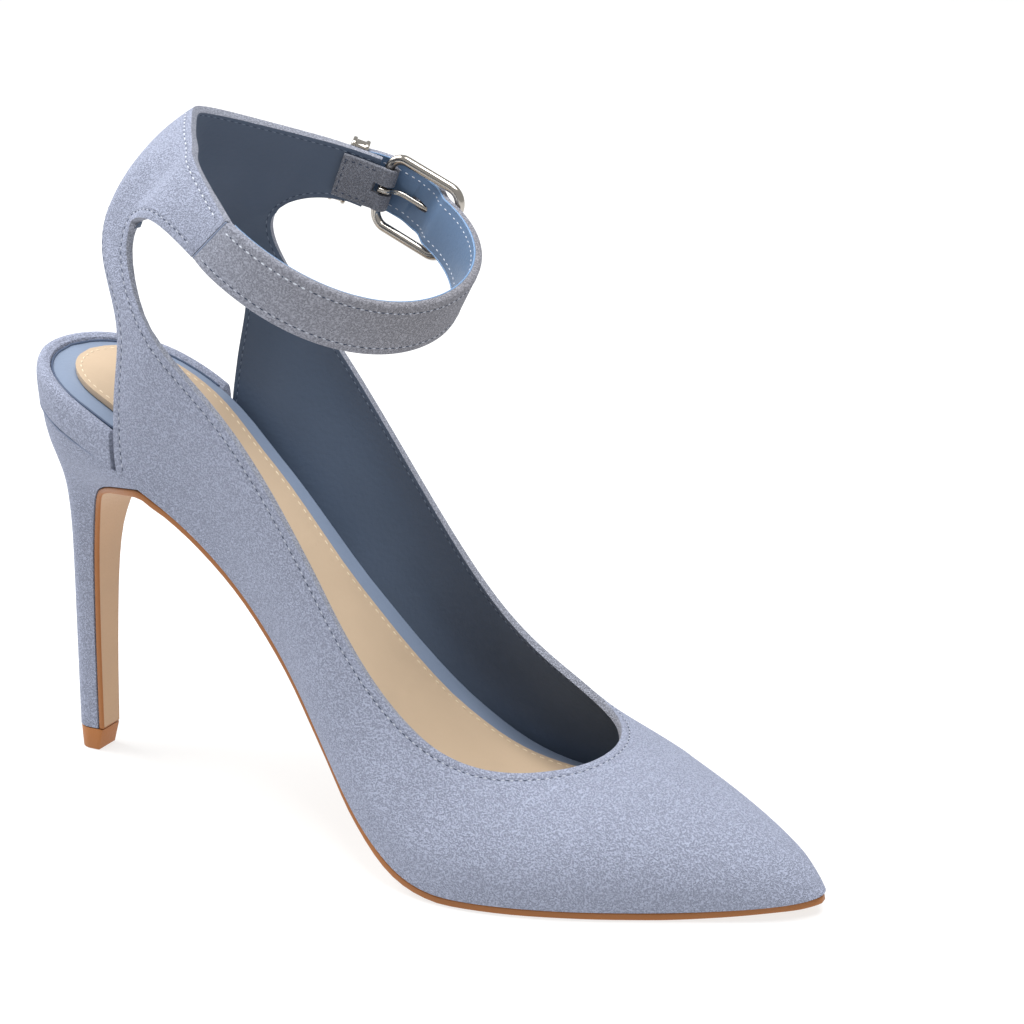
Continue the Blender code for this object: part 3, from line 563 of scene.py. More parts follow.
# upper: the outer skin of the CAD wall, smoothed, with its creases, wall, lining and rolled edge
upperLook = {"wall": 1.9, "round": 0.75, "stitchIn": seamIn, "insideIn": 1.2, "pitch": 2.05, "sunk": 0.02,
             "edgePasses": 24, "besidePasses": 6, "linePasses": 6, "shortest": 12.0, "footReach": 1.6,
             "bandLow": 100.0, "endFrom": 74.0, "cutFrom": 76.0, "cutSpan": (1.2, 12.8),
             "topEdge": (90.0, 6.5), "rimStep": 0.5, "rimSlack": 0.25, "flat": math.radians(50.0),
             "square": math.radians(60.0), "bend": math.radians(50.0)}
stitchLook = {"thread": (0.5, 0.22, 0.16), "hole": (0.25, 0.17, 0.08), "paintedShadeThread": (0.42, 0.18, 0.12),
              "gash": (0.52, 0.16, 0.09), "inside": (0.5, 0.15, 0.1)}  # half sizes along, across, up
creases = [  # middle, run, half length, half width, depth (plus goes in)
    ((122.0, -36.0, 17.0), (0.5, 0.0, 0.86), 12.0, 7.0, 0.35),
    ((138.0, -33.0, 18.0), (-0.35, 0.0, 0.93), 11.0, 6.0, -0.3),
    ((150.0, -28.0, 14.0), (0.8, 0.3, 0.5), 13.0, 5.0, 0.3),
    ((175.0, -12.0, 15.0), (0.9, 0.3, -0.2), 16.0, 5.0, 0.22),
    ((88.0, -30.0, 62.0), (0.6, 0.0, 0.8), 20.0, 8.0, 0.35),
    ((122.0, 36.0, 17.0), (0.5, 0.0, 0.86), 12.0, 7.0, 0.35),
    ((150.0, 28.0, 14.0), (0.8, -0.3, 0.5), 13.0, 5.0, 0.3),
]
form = formOf("upper")
groups = faceGroups(form)
heart = 0.5 * (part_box("upper")[0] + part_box("upper")[1])


def outward(group):
    return sum(face.calc_area() * face.normal.dot(face.calc_center_median() - heart) for face in group)


kept = set(max(groups[:2], key=outward))
bmesh.ops.delete(form, geom=[face for face in form.faces if face not in kept], context="FACES")
bmesh.ops.join_triangles(form, faces=form.faces, angle_face_threshold=upperLook["flat"],
                         angle_shape_threshold=upperLook["square"])
print("upper skin:", len(form.faces), "faces")
mesh = bpy.data.meshes.new("upper_skin")
form.to_mesh(mesh)
form.free()
upper = place("upper_shell", mesh, [suede, lining, suedeEdge], "suede", "upper")
modifier(upper, "SUBSURF", levels=2, render_levels=2, boundary_smooth="PRESERVE_CORNERS")
mesh = applied(upper)
soleTree, heelTree, rimTree = (BVHTree.FromObject(nodes[node], bpy.context.evaluated_depsgraph_get())
                               for node in ("outsole", "heel", "seat_rim"))


def atFoot(point):
    return any(tree.find_nearest(point, upperLook["footReach"] * mm)[0] is not None
               for tree in (soleTree, heelTree))


def onBandHeight(point):
    return point.z > upperLook["bandLow"] * mm


def edgesAround(vertex):
    return [edge for edge in vertex.link_edges if edge.is_boundary or not vertex.is_boundary]


def relax(vertices, passes):
    for _ in range(passes):
        moved = []
        for vertex in vertices:
            beside = [edge.other_vert(vertex).co for edge in edgesAround(vertex)]
            moved.append(0.5 * vertex.co + 0.5 * sum(beside, Vector()) / len(beside))
        for vertex, point in zip(vertices, moved):
            vertex.co = point


# evens out the free edges, all but the band's two ends
form = bmesh.new()
form.from_mesh(mesh)
loose = [vertex for vertex in form.verts if vertex.is_boundary and not atFoot(vertex.co)
         and not (onBandHeight(vertex.co) and ringPlace(vertex.co)[0] > upperLook["endFrom"])]
relax(loose, upperLook["edgePasses"])
beside = {edge.other_vert(vertex) for vertex in loose for edge in vertex.link_edges}
beside |= {edge.other_vert(vertex) for vertex in beside for edge in vertex.link_edges}
inner = sorted((vertex for vertex in beside if not vertex.is_boundary), key=lambda vertex: vertex.index)
relax(inner, upperLook["besidePasses"])
form.to_mesh(mesh)
form.free()
spots = np.empty(3 * len(mesh.vertices), np.float32)
mesh.vertices.foreach_get("co", spots)
spots = spots.reshape(-1, 3)
normals = np.array([vertex.normal for vertex in mesh.vertices])
push = np.zeros(len(spots))
for middle, run, long, wide, depth in creases:
    gaps = spots - np.array(world(Vector(middle)))
    run = np.array(Vector(run).normalized())
    reach = gaps @ run
    off = np.linalg.norm(gaps - np.outer(reach, run), axis=1)
    push += depth * mm * np.exp(-(reach / (long * mm)) ** 2 - (off / (wide * mm)) ** 2)
mesh.vertices.foreach_set("co", (spots - normals * push[:, None]).ravel())
mesh.update()
rimPoints, freePoints = [], []
cutTop, cutFoot = upperLook["cutSpan"]
for loop in boundaryLoops(mesh):
    for point in dense(loop, upperLook["rimStep"] * mm):
        angle, depth = ringPlace(point)
        endCut = angle > upperLook["cutFrom"] and cutTop < depth < cutFoot and onBandHeight(point)
        rimPoints.append(point)
        if not atFoot(point) and not endCut:
            freePoints.append(point)
edgeTree, freeTree = treeOf(rimPoints), treeOf(freePoints)
reaches = [freeTree.find(vertex.co)[2] / mm for vertex in mesh.vertices]


def onFreeEdge(point):
    slack = upperLook["rimSlack"] * mm
    return freeTree.find(point)[2] < edgeTree.find(point)[2] + slack and not atFoot(point)


def longContours(level):
    lines = []
    for path in contours(mesh, reaches, level, onFreeEdge):
        length = sum((after[0] - before[0]).length for before, after in zip(path, path[1:]))
        if length > upperLook["shortest"] * mm:
            lines.append(smoothPath(path, upperLook["linePasses"]))
    return lines


seamPaths = longContours(upperLook["stitchIn"])
insidePaths = longContours(upperLook["insideIn"])
mesh.attributes.new("edgeReach", "FLOAT", "POINT").data.foreach_set("value", reaches)
mesh.shade_smooth()
modifier(upper, "SOLIDIFY", thickness=upperLook["wall"] * mm, offset=-1.0, use_even_offset=True,
         material_offset=1, material_offset_rim=2)
modifier(upper, "BEVEL", width=upperLook["round"] * mm, segments=3, limit_method="ANGLE",
         angle_limit=upperLook["bend"], use_clamp_overlap=True)
mesh = applied(upper)
mesh.shade_smooth()


def stitches(name, spots, key, material):
    grains(name, spots, [part * mm for part in stitchLook[key]], [material], "suede")


def stitchSet(piece, threads, holes, shadedThreads, gashes):
    stitches(piece + "_stitches", threads, "thread", pale)
    # needle holes and gashes: dark grains of painted shade
    stitches(piece + "_needle_hole_shade", holes, "hole", dark)
    stitches(piece + "_painted_shade_stitches", shadedThreads, "paintedShadeThread", paintedShadeThread)
    stitches(piece + "_needle_gash_shade", gashes, "gash", dark)


def onTopEdge(point):
    angle, depth = ringPlace(point)
    return angle < upperLook["topEdge"][0] and depth < upperLook["topEdge"][1]


# pale dashes along the band's top edge; along every other edge the same thread darkened as painted shade,
# with dark gashes of painted shade
threads, holes, shadedThreads, gashes, insideThreads, insideGashes = ([] for _ in range(6))
pitch = upperLook["pitch"] * mm
for path in seamPaths:
    for start, top, other in ((0.5, threads, shadedThreads), (1.0, holes, gashes)):
        for middle, run, up in along(path, pitch, start):
            (top if onTopEdge(middle) else other).append((middle - up * upperLook["sunk"] * mm, run, up))
for path in insidePaths:
    sunk = [(middle - up * (upperLook["wall"] - upperLook["sunk"]) * mm, -up) for middle, up in path]
    insideThreads += along(sunk, pitch)
    insideGashes += along(sunk, pitch, 1.0)
stitchSet("upper", threads, holes, shadedThreads, gashes)
stitches("lining_stitches", insideThreads, "inside", navyThread)
# dark gashes of painted shade at the lining's stitch holes
stitches("lining_gash_shade", insideGashes, "inside", dark)
print("upper:", len(mesh.polygons), "faces,", len(seamPaths), "seams,", len(threads), "stitches")


# pieces that keep the CAD form: welded, smoothed between their sharp edges, edges rounded
rounding = {"flat": math.radians(30.0), "square": math.radians(60.0), "bend": math.radians(35.0),
            "sharp": math.radians(60.0)}


def rounded(name, node, materials, slot, levels, corner, mark=None):
    form = formOf(node)
    if mark:
        mark(form)
    bmesh.ops.join_triangles(form, faces=form.faces, angle_face_threshold=rounding["flat"],
                             angle_shape_threshold=rounding["square"], cmp_materials=True)
    crease = form.edges.layers.float.get("crease_edge") or form.edges.layers.float.new("crease_edge")
    for edge in form.edges:
        if len(edge.link_faces) == 2 and edge.calc_face_angle() > rounding["bend"]:
            edge[crease] = 1.0
    mesh = bpy.data.meshes.new(name)
    form.to_mesh(mesh)
    form.free()
    thing = place(name, mesh, materials, slot, node)
    if levels:
        modifier(thing, "SUBSURF", levels=levels, render_levels=levels)
    modifier(thing, "BEVEL", width=corner * mm, segments=3, limit_method="ANGLE",
             angle_limit=rounding["bend"], use_clamp_overlap=True)
    mesh = applied(thing)
    mesh.shade_smooth()
    mesh.set_sharp_from_angle(angle=rounding["sharp"])


# outsole: brown burnished edge, tan face set in from it on the underside and heel front
soleLook = {"border": 0.5, "round": 0.45, "faceBend": 62.0}


def markSole(form):
    for group in faceGroups(form, soleLook["faceBend"])[:2]:
        bmesh.ops.inset_region(form, faces=group, thickness=soleLook["border"] * mm, use_even_offset=True)
        for face in group:
            face.material_index = 1


rounded("outsole_leather", "outsole", [soleEdge, soleFace], "sole_leather", 0, soleLook["round"], markSole)
bottoms = {"heel_cover": ("heel", suedeHeel, "suede", 1, 0.5),
           "heel_top_lift": ("heel_tip", tipRubber, "tip_rubber", 0, 0.4),
           "seat_rim_cover": ("seat_rim", suedeHeel, "suede", 2, 0.5),
           "insole_cover": ("insole", insoleLeather, "insole_leather", 0, 0.7),
           "sock_pad": ("sock", sockLeather, "sock_leather", 0, 0.8)}
for name, (node, material, slot, levels, corner) in bottoms.items():
    rounded(name, node, [material], slot, levels, corner)
print("bottom pieces ready")

# strap: rounded edges, lining inside, bored for the prong and pinholes, and what is fastened on it
strapLook = {"wide": 14.0, "thick": 2.2, "freeEnd": 41.0, "round": 0.8, "roundSteps": 4, "rows": (60, 120),
             "stitchIn": 2.1, "pitch": 2.05, "slantRun": 6.0 / 17.0, "entry": 3.0, "climb": (10.0, 2.9),
             "level": 6.0, "swell": 1.0, "bore": (7.0, 24.0), "boreRound": 1.1, "boreSides": 20,
             "pinholes": (-8.0, 17.5, 26.0), "pinholeRound": 0.75, "pinholeReach": 2.5, "paleRows": 22,
             "plainRows": 4, "sharp": math.radians(50.0)}
buckle = {"long": 21.6, "wide": 18.6, "round": 4.0, "roundSteps": 14, "wire": 1.25, "sides": 20, "gap": 0.3,
          "frontGaps": 2.5}
tabLook = {"wide": 11.4, "thick": 1.1, "tail": 12.0, "bend": 3.0, "ease": 0.5, "wrap": 100.0, "round": 0.4,
           "roundSteps": 3, "tailRows": 10, "foldRows": 33, "slotMiddle": 2.6, "slot": (8.0, 12.0, 2.5),
           "stitchIn": 1.3, "pitch": 1.8, "endSteps": 5}
keeperLook = {"back": 9.2, "long": 4.4, "wire": 1.0, "play": 0.3, "sidePlay": 0.9, "ease": 0.2, "sink": 2.2,
              "round": 1.1, "roundSteps": 6, "bevel": 0.12, "bead": 0.6, "beads": 10, "beadEnds": 3.4,
              "bend": math.radians(35.0)}
wall = upperLook["wall"]
halfWide, halfThick = 0.5 * strapLook["wide"], 0.5 * strapLook["thick"]
overBar = buckle["wire"] + tabLook["thick"] + halfThick + 2.0 * buckle["gap"]
onBand = 0.5 * wall + halfThick + strapLook["swell"]
overKeeper = (0.5 * (wall + strapLook["thick"]) + buckle["gap"] + keeperLook["wire"] + keeperLook["play"]
              + keeperLook["ease"])
guides = [(strapLook["entry"] - buckle["long"], 0.0),  # way past the bar, height over the ring
          (strapLook["climb"][0] - buckle["long"], strapLook["climb"][1]), (-strapLook["level"], overBar),
          (0.0, overBar), (keeperLook["back"], overKeeper), (2.0 * keeperLook["back"], onBand)]


def ease(share):
    return share * share * (3.0 - 2.0 * share)


def proudAt(gone):
    if gone <= guides[0][0]:
        return 0.0
    for first, second in zip(guides, guides[1:]):
        if gone <= second[0]:
            return first[1] + (second[1] - first[1]) * ease((gone - first[0]) / (second[0] - first[0]))
    return guides[-1][1]


def arcTo(angle, steps=40):
    spots = [ringPoint(angle + (ring["bar"] - angle) * step / steps, 1.0, 0.0) for step in range(steps + 1)]
    length = sum((after - before).length for before, after in zip(spots, spots[1:]))
    return math.copysign(length, ring["bar"] - angle)


def sinkAt(gone):
    return keeperLook["sink"] * ease(min(1.0, max(0.0, gone) / (2.0 * keeperLook["back"])))


strapRows = []  # angle, side, proud, sink, slant
startAngle = ringAngle(ring["seam"], 2.0 * buckle["gap"], -1.0)
frontRows, sideRows = strapLook["rows"]
for row in range(frontRows):
    share = row / (frontRows - 1)
    slant = ring["slant"] * max(0.0, 1.0 - share / strapLook["slantRun"])
    strapRows.append((startAngle + (180.0 - startAngle) * share, -1.0, 0.0, 0.0, slant))
endAngle = ringAngle(ring["bar"], -strapLook["freeEnd"], 1.0)
for row in range(1, sideRows + 1):
    angle = 180.0 + (endAngle - 180.0) * row / sideRows
    strapRows.append((angle, 1.0, proudAt(arcTo(angle)), sinkAt(arcTo(angle)), 0.0))


def strapSpot(row, wide, thick):
    angle, side, proud, sink, slant = row
    depth = halfWide * (1.0 - wide) + sink
    return world(bandPoint(angle + slant * wide, side, depth, proud + halfThick * thick))


strapSection = [(wide / halfWide, thick / halfThick) for wide, thick in
                corners(strapLook["wide"], strapLook["thick"], strapLook["round"], strapLook["roundSteps"])]
points = [strapSpot(row, wide, thick) for row in strapRows for wide, thick in strapSection]
lined = [thick < -0.9 for wide, thick in strapSection]
rowMarks = [int(first and second) for first, second in zip(lined, lined[1:] + lined[:1])]
marks = rowMarks * (len(strapRows) - 1) + [0, 0]
strap = skin("ankle_strap_leather", (points, skinFaces(len(strapRows), len(strapSection)), marks),
             [suedeStrap, strapLining], "suede", "ankle_strap")

# buckle's own frame: along the strap, outward, across
here = ringPoint(ring["bar"], 1.0, halfWide)
there = ringPoint(ringAngle(ring["bar"], buckle["long"], 1.0), 1.0, halfWide,
                  buckle["wire"] + halfThick + buckle["frontGaps"] * buckle["gap"])
runAlong = (there - here).normalized()
runAcross = (ringAxis - ringAxis.dot(runAlong) * runAlong).normalized()
runOut = runAcross.cross(runAlong)
if runOut.y < 0.0:
    runOut.negate()


def buckleSpot(ahead, out, across):
    return world(here + ahead * runAlong + out * runOut + across * runAcross)


path = [buckleSpot(0.5 * buckle["long"] + first, 0.0, second)
        for first, second in corners(buckle["long"], buckle["wide"], buckle["round"], buckle["roundSteps"])]
skin("buckle_frame_polished", evenTube(path, buckle["wire"], buckle["sides"], runOut, True),
     [nickel], "nickel", "buckle_frame")

# prong: hooked round the bar, a little thinner towards the front bar
prongLook = {"wire": 0.75, "sides": 14, "hook": range(-85, 1, 9), "level": 3.0, "levelSteps": 10,
             "rise": ((0.35, 0.7), (1.0, 1.6), (1.9, 2.1)), "reach": 1.0, "wide": (0.95, 0.15),
             "tall": (1.0, 0.1)}
ride = buckle["wire"] + prongLook["wire"] + buckle["gap"]
levelFrom = ride + prongLook["level"]
levelLong = buckle["long"] + prongLook["reach"] - levelFrom
prongPath = [(ride * math.cos(math.radians(turn)), ride * math.sin(math.radians(turn)))
             for turn in prongLook["hook"]]
prongPath += [(ride + ahead, out) for ahead, out in prongLook["rise"]]
prongPath += [(levelFrom + levelLong * step / prongLook["levelSteps"], ride)
              for step in range(prongLook["levelSteps"] + 1)]
prongSpots = [buckleSpot(ahead, out, 0.0) for ahead, out in prongPath]
prongHalves = []
for spot in range(len(prongSpots)):
    prongHalves.append([prongLook["wire"] * mm * (full - less * spot / len(prongSpots))
                        for full, less in (prongLook["wide"], prongLook["tall"])])
skin("buckle_prong_polished", tube(prongSpots, prongHalves, prongLook["sides"], runAcross),
     [nickel], "nickel", "buckle_prong")


def cutter(name, shape):
    thing = bpy.data.objects.new(name, meshOf(name, *shape))
    bpy.context.scene.collection.objects.link(thing)
    return thing


def roundCutter(name, start, end, radius):
    return cutter(name, evenTube([start, end], radius, strapLook["boreSides"], Vector((0.3, 0.5, 0.8))))


def bored(thing, cutters):
    for tool in cutters:
        modifier(thing, "BOOLEAN", object=tool, operation="DIFFERENCE", solver="EXACT")
    mesh = applied(thing)
    mesh.shade_smooth()
    mesh.set_sharp_from_angle(angle=strapLook["sharp"])
    for tool in cutters:
        bpy.data.objects.remove(tool)
    return mesh


start, end = (buckleSpot(ahead, ride, 0.0) for ahead in strapLook["bore"])
cutters = [roundCutter("prong_bore", start, end, strapLook["boreRound"])]
for gone in strapLook["pinholes"]:
    angle = ringAngle(ring["bar"], -gone, 1.0)
    start, end = (world(ringPoint(angle, 1.0, halfWide, proudAt(gone) + way * strapLook["pinholeReach"]))
                  for way in (-1.0, 1.0))
    cutters.append(roundCutter("pinhole", start, end, strapLook["pinholeRound"]))
mesh = bored(strap, cutters)


def strapPath(rows, wide, thick):
    spots = [strapSpot(row, wide, thick) for row in rows]
    ups = [(strapSpot(row, wide, 1.1 * thick) - spot).normalized() for row, spot in zip(rows, spots)]
    return list(zip(spots, ups))


# pale threads beside the band and across the free end, between them the same thread darkened as painted
# shade, with gashes of painted shade
threads, holes, shadedThreads, gashes, insideThreads = ([] for _ in range(5))
pitch = strapLook["pitch"] * mm
reachWide = 1.0 - strapLook["stitchIn"] / halfWide
paleEnd, plainFrom = strapLook["paleRows"], -strapLook["plainRows"]
for rows, wide, threadList, holeList in ((strapRows[1:plainFrom], -reachWide, shadedThreads, gashes),
                                         (strapRows[1:paleEnd + 1], reachWide, threads, holes),
                                         (strapRows[paleEnd:plainFrom], reachWide, shadedThreads, gashes)):
    path = strapPath(rows, wide, 1.0)
    threadList += along(path, pitch)
    holeList += along(path, pitch, 1.0)
    insideThreads += along(strapPath(rows, wide, -1.0), pitch)
endRow = strapRows[plainFrom - 1:plainFrom]
endPath = [strapPath(endRow, reachWide * (2.0 * step / 11.0 - 1.0), 1.0)[0] for step in range(12)]
threads += along(endPath, pitch)
stitchSet("strap", threads, holes, shadedThreads, gashes)
stitches("strap_lining_stitches", insideThreads, "inside", pale)
print("strap:", len(mesh.polygons), "faces,", len(threads) + len(shadedThreads) + len(insideThreads), "stitches")

# the lining's blue edge, just inside the strap's rims
liningLook = {"radius": 0.24, "sides": 8, "in": -0.86,
              "rims": {"strap_lining_rim": 0.95, "strap_lining_foot": -0.95}}
for name, wide in liningLook["rims"].items():
    path = [strapSpot(row, wide, liningLook["in"]) for row in strapRows[1:-2]]
    skin(name, evenTube(path, liningLook["radius"], liningLook["sides"], ringAxis), [liningRim], "suede")

# the strap's sewn end: a fine folded ridge along the slanted seam
ridgeLook = {"radius": 0.32, "sides": 10, "steps": 14, "reach": 0.97, "back": 0.4, "sunk": 0.28}
path = []
for step in range(ridgeLook["steps"] + 1):
    wide = ridgeLook["reach"] * (1.0 - 2.0 * step / ridgeLook["steps"])
    angle = startAngle + ring["slant"] * wide - ridgeLook["back"]
    path.append(world(bandPoint(angle, -1.0, halfWide * (1.0 - wide), 0.5 * wall - ridgeLook["sunk"])))
skin("seam_ridge", evenTube(path, ridgeLook["radius"], ridgeLook["sides"], ringOut(ring["seam"], -1.0)),
     [seamFold], "suede")

# tab folded round the bar, slotted for the prong
under = 0.5 * wall + buckle["gap"] + 0.5 * tabLook["thick"]
foldRide = buckle["wire"] + buckle["gap"] + 0.5 * tabLook["thick"]
tail, fold = [], []
for step in range(tabLook["tailRows"]):
    back = tabLook["tail"] + (tabLook["bend"] - tabLook["tail"]) * step / (tabLook["tailRows"] - 1)
    angle = ringAngle(ring["bar"], -back, 1.0)
    tail.append(world(ringPoint(angle, 1.0, halfWide, -under - tabLook["ease"])))
for step in range(tabLook["foldRows"]):
    turn = math.radians(tabLook["wrap"] * (2.0 * step / (tabLook["foldRows"] - 1) - 1.0))
    fold.append(buckleSpot(foldRide * math.cos(turn), foldRide * math.sin(turn), 0.0))
middles = tail + fold
points = []
tabSection = corners(tabLook["wide"], tabLook["thick"], tabLook["round"], tabLook["roundSteps"])
for spot, middle in enumerate(middles):
    run = middles[min(spot + 1, len(middles) - 1)] - middles[max(spot - 1, 0)]
    out = run.cross(runAcross).normalized()
    points += [middle + (second * out + first * runAcross) * mm for first, second in tabSection]
tab = skin("buckle_tab_suede", (points, skinFaces(len(middles), len(tabSection))), [suedeTab], "suede",
           "buckle_loop")
slotLong, slotTall, slotWide = tabLook["slot"]
slotCorners = [buckleSpot(tabLook["slotMiddle"] + slotLong * ahead, slotTall * out, slotWide * across)
               for ahead in (-0.5, 0.5)
               for out, across in ((-0.5, -0.5), (-0.5, 0.5), (0.5, 0.5), (0.5, -0.5))]
bored(tab, [cutter("tab_slot", (slotCorners, skinFaces(2, 4)))])
tabHalf, tabFace = 0.5 * tabLook["wide"] - tabLook["stitchIn"], 0.5 * tabLook["thick"]
ups = [(after - before).cross(runAcross).normalized() for before, after in zip(tail, tail[1:])]
ups.append(ups[-1])


def tabSpot(row, share):
    return tail[row] + (tabFace * ups[row] + share * tabHalf * runAcross) * mm, ups[row]


endSteps = tabLook["endSteps"]
tabPaths = [[tabSpot(row, share) for row in range(len(tail))] for share in (-1.0, 1.0)]
tabPaths.append([tabSpot(1, step / endSteps) for step in range(-endSteps, endSteps + 1)])
tabThreads = [spot for path in tabPaths for spot in along(path, tabLook["pitch"] * mm)]
# the tab's stitches: dark dashes of painted shade at the stitch holes
stitches("tab_stitches", tabThreads, "gash", dark)

# keeper: flat loop, two polished rails with a row of beads in the groove between them
angle = ringAngle(ring["bar"], -keeperLook["back"], 1.0)
keeperRun = (ringPoint(angle + 0.5, 1.0, 0.0) - ringPoint(angle - 0.5, 1.0, 0.0)).normalized()
keeperOut = ringOut(angle, 1.0)
deep = strapLook["thick"] + 2.0 * keeperLook["play"] + keeperLook["wire"]
wideLoop = strapLook["wide"] + 2.0 * keeperLook["sidePlay"] + keeperLook["wire"]
middle = ringPoint(angle, 1.0, halfWide + sinkAt(keeperLook["back"]), overKeeper)
half = 0.5 * keeperLook["wire"]
keeperSection = [(-1.0, -0.5), (-1.0, 0.5), (0.6, 0.5), (1.0, 0.44), (1.0, 0.3), (0.1, 0.24), (0.1, -0.24),
                 (1.0, -0.3), (1.0, -0.44), (0.6, -0.5)]  # out, along
points = []
loop = corners(deep, wideLoop, keeperLook["round"], keeperLook["roundSteps"])
for spot, (reach, across) in enumerate(loop):
    ahead, behind = loop[(spot + 1) % len(loop)], loop[spot - 1]
    onward = Vector((ahead[0] - behind[0], ahead[1] - behind[1], 0.0)).normalized()
    normal = onward.y * keeperOut - onward.x * ringAxis
    base = middle + reach * keeperOut + across * ringAxis
    points += [world(base + out * half * normal + keeperLook["long"] * end * keeperRun)
               for out, end in keeperSection]
keeper = skin("keeper_polished", (points, skinFaces(len(loop), len(keeperSection), True)), [nickel],
              "nickel", "keeper")
modifier(keeper, "BEVEL", width=keeperLook["bevel"] * mm, segments=2, limit_method="ANGLE",
         angle_limit=keeperLook["bend"])
applied(keeper).shade_smooth()
beads = []
for step in range(keeperLook["beads"]):
    across = (step / (keeperLook["beads"] - 1) - 0.5) * (wideLoop - keeperLook["beadEnds"])
    spot = middle + (0.5 * deep + 0.25 * half) * keeperOut + across * ringAxis
    beads.append((world(spot), keeperRun, keeperOut))
grains("keeper_beads", beads, [keeperLook["bead"] * mm] * 3, [nickel], "nickel", rings=8, sides=12)
print("buckle and keeper ready")

# sock stitches and the dark piping round the seat
sockLook = {"stitchIn": 1.4, "pitch": 2.4, "thread": (0.7, 0.2, 0.14), "passes": 4, "rimStep": 0.5}
pipingLook = {"front": 36.0, "step": 1.0, "lift": 0.1, "radius": 0.32, "sides": 8}
topLook = {"bend": 35.0, "longest": 6.0, "cuts": 9}
upward = Vector((0.0, 0.0, 1.0))


def topOutline(node):
    form = formOf(node)
    groups = faceGroups(form, topLook["bend"])
    top = set(max(groups[:2], key=lambda group: sum(face.normal.z * face.calc_area() for face in group)))
    bmesh.ops.delete(form, geom=[face for face in form.faces if face not in top], context="FACES")
    long = [edge for edge in form.edges if edge.calc_length() > topLook["longest"] * mm]
    bmesh.ops.subdivide_edges(form, edges=long, cuts=topLook["cuts"], use_grid_fill=True)
    mesh = bpy.data.meshes.new(node + "_top")
    form.to_mesh(mesh)
    form.free()
    return mesh, boundaryLoops(mesh)[0]


mesh, loop = topOutline("sock")
tree = treeOf(dense(loop, sockLook["rimStep"] * mm))
values = [tree.find(vertex.co)[2] / mm for vertex in mesh.vertices]
threads = []
for path in contours(mesh, values, sockLook["stitchIn"], lambda point: True):
    path = [(point, Vector((up.x, up.y, abs(up.z)))) for point, up in smoothPath(path, sockLook["passes"])]
    threads += along(path, sockLook["pitch"] * mm)
grains("sock_stitches", threads, [part * mm for part in sockLook["thread"]], [tanThread], "sock_leather")
mesh, loop = topOutline("insole")
centre = Vector((world(Vector((pipingLook["front"], 0.0, 0.0))).x, shift.y * mm, 0.0))
seat = [point for point in dense(loop, pipingLook["step"] * mm) if point.x < centre.x]
seat.sort(key=lambda point: math.atan2(point.y - centre.y, centre.x - point.x))
path = [point + pipingLook["lift"] * mm * upward for point in seat]
skin("seat_piping", evenTube(path, pipingLook["radius"], pipingLook["sides"], upward), [piping],
     "insole_leather")

# the seam between seat rim and heel cover, found by stepping down the outside
seamLook = {"fan": 92.0, "rays": 48, "top": 114.0, "drop": 0.3, "drops": 120, "reach": 60.0, "lift": 0.2,
            "out": 0.1, "radius": 0.26, "sides": 8}
seamLine = []
for step in range(seamLook["rays"] + 1):
    turn = math.radians(seamLook["fan"] * (2.0 * step / seamLook["rays"] - 1.0))
    toward = Vector((math.cos(turn), math.sin(turn), 0.0))
    for drop in range(seamLook["drops"]):
        high = (seamLook["top"] - seamLook["drop"] * drop) * mm
        start = Vector((centre.x, centre.y, high)) - seamLook["reach"] * mm * toward
        onRim, onHeel = (solid.ray_cast(start, toward, seamLook["reach"] * mm)
                         for solid in (rimTree, heelTree))
        if onHeel[0] is not None and onRim[0] is None:
            seamLine.append(onHeel[0] + seamLook["lift"] * mm * upward - seamLook["out"] * mm * toward)
            break
skin("heel_seam", evenTube(seamLine, seamLook["radius"], seamLook["sides"], upward), [seamFold], "suede")
print("sock stitches:", len(threads))

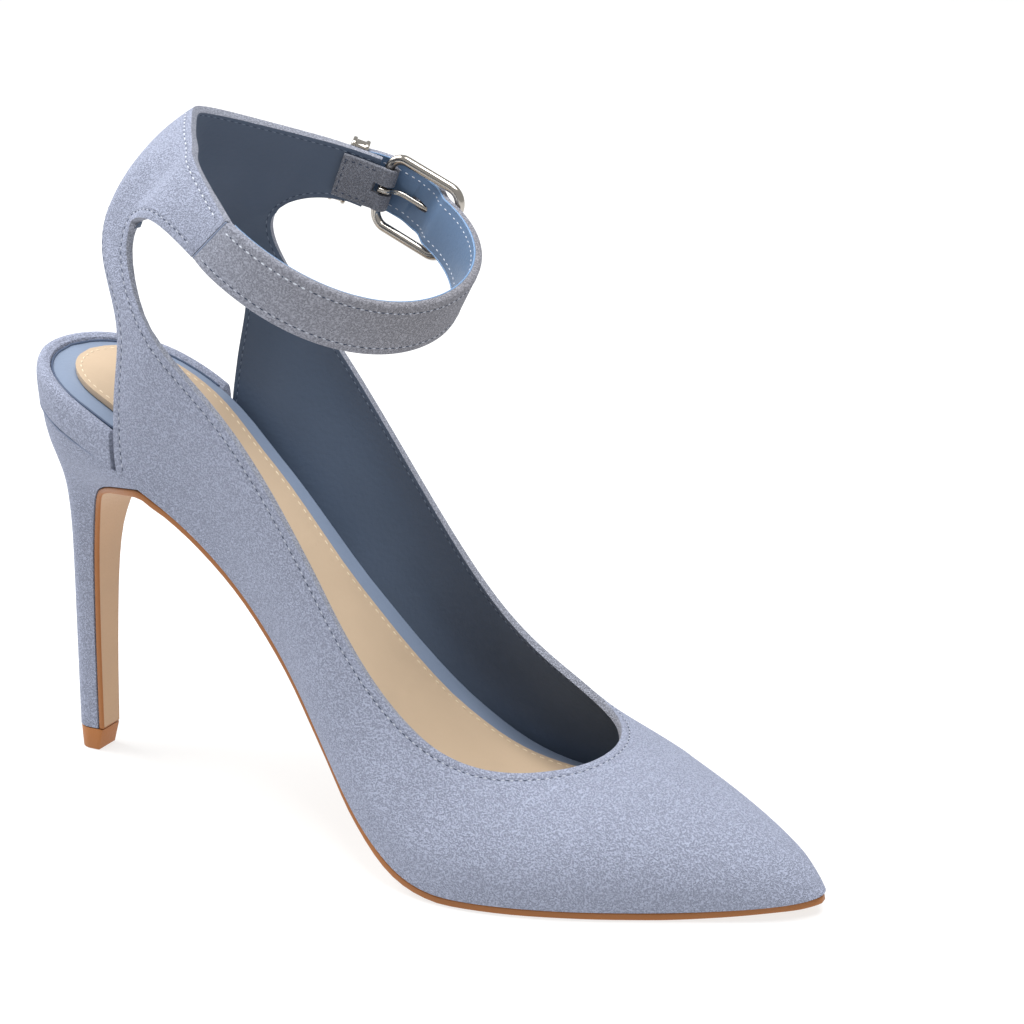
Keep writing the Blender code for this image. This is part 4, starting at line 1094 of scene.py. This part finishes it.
# studio: white floor, soft even light, camera at the photo's angle
studio = {"azimuth": 29.4, "elevation": 18.5, "distance": 0.52, "lens": 76.4, "roll": -0.2, "right": 0.0212,
          "up": 0.0042, "targetHigh": 0.075, "floorReach": 6.0, "floorSunk": 0.2, "floorGlow": 0.72,
          "sky": 0.55, "lampAim": 0.06}
lamps = {"keyLight": ((-1.75, -0.1, 1.8), 1.5, 50.0), "topLight": ((0.35, -0.2, 2.2), 1.3, 50.0)}
white = (1.0, 1.0, 1.0, 1.0)
scene = bpy.context.scene
floorCorners = [Vector((wayX, wayY, 0.0)) * studio["floorReach"] - studio["floorSunk"] * mm * upward
                for wayX, wayY in ((-1, -1), (1, -1), (1, 1), (-1, 1))]
floorMesh = meshOf("studio_floor", floorCorners, [(0, 1, 2, 3)])
floor = bpy.data.objects.new("studio_floor", floorMesh)
scene.collection.objects.link(floor)
material, shader, flow, spot = newMaterial("studioWhite", {"Roughness": 0.8, "Specular IOR Level": 0.1,
                                                         "Emission Color": white,
                                                         "Emission Strength": studio["floorGlow"]})
feed(flow, shader, {"Base Color": noise(spot, 3.0).mix(shade(white, 0.29), shade(white, 0.31))})
floorMesh.materials.append(material)
scene.world = bpy.data.worlds.new("studioWorld")
scene.world.use_nodes = True
backdrop = scene.world.node_tree.nodes["Background"]
backdrop.inputs["Color"].default_value = white
backdrop.inputs["Strength"].default_value = studio["sky"]
scene.view_settings.view_transform = "Standard"
for name, (spot, size, power) in lamps.items():
    light = bpy.data.lights.new(name, "AREA")
    light.size = size
    light.energy = power
    lamp = bpy.data.objects.new(name, light)
    lamp.location = spot
    lamp.rotation_euler = (studio["lampAim"] * upward - Vector(spot)).to_track_quat("-Z", "Y").to_euler()
    scene.collection.objects.link(lamp)
turn, rise = math.radians(studio["azimuth"]), math.radians(studio["elevation"])
back = Vector((math.sin(turn) * math.cos(rise), -math.cos(turn) * math.cos(rise), math.sin(rise)))
target = studio["targetHigh"] * upward
eye = target + studio["distance"] * back
right = Vector((math.cos(turn), math.sin(turn), 0.0))
look = target + studio["right"] * right + studio["up"] * back.cross(right)
lens = bpy.data.cameras.new("photoCamera")
lens.lens = studio["lens"]
lens.sensor_width = 36.0
lens.clip_start = 0.01
camera = bpy.data.objects.new("photoCamera", lens)
camera.location = eye
camera.rotation_mode = "QUATERNION"
camera.rotation_quaternion = ((look - eye).to_track_quat("-Z", "Y")
                              @ Quaternion(upward, math.radians(studio["roll"])))
scene.collection.objects.link(camera)
scene.camera = camera
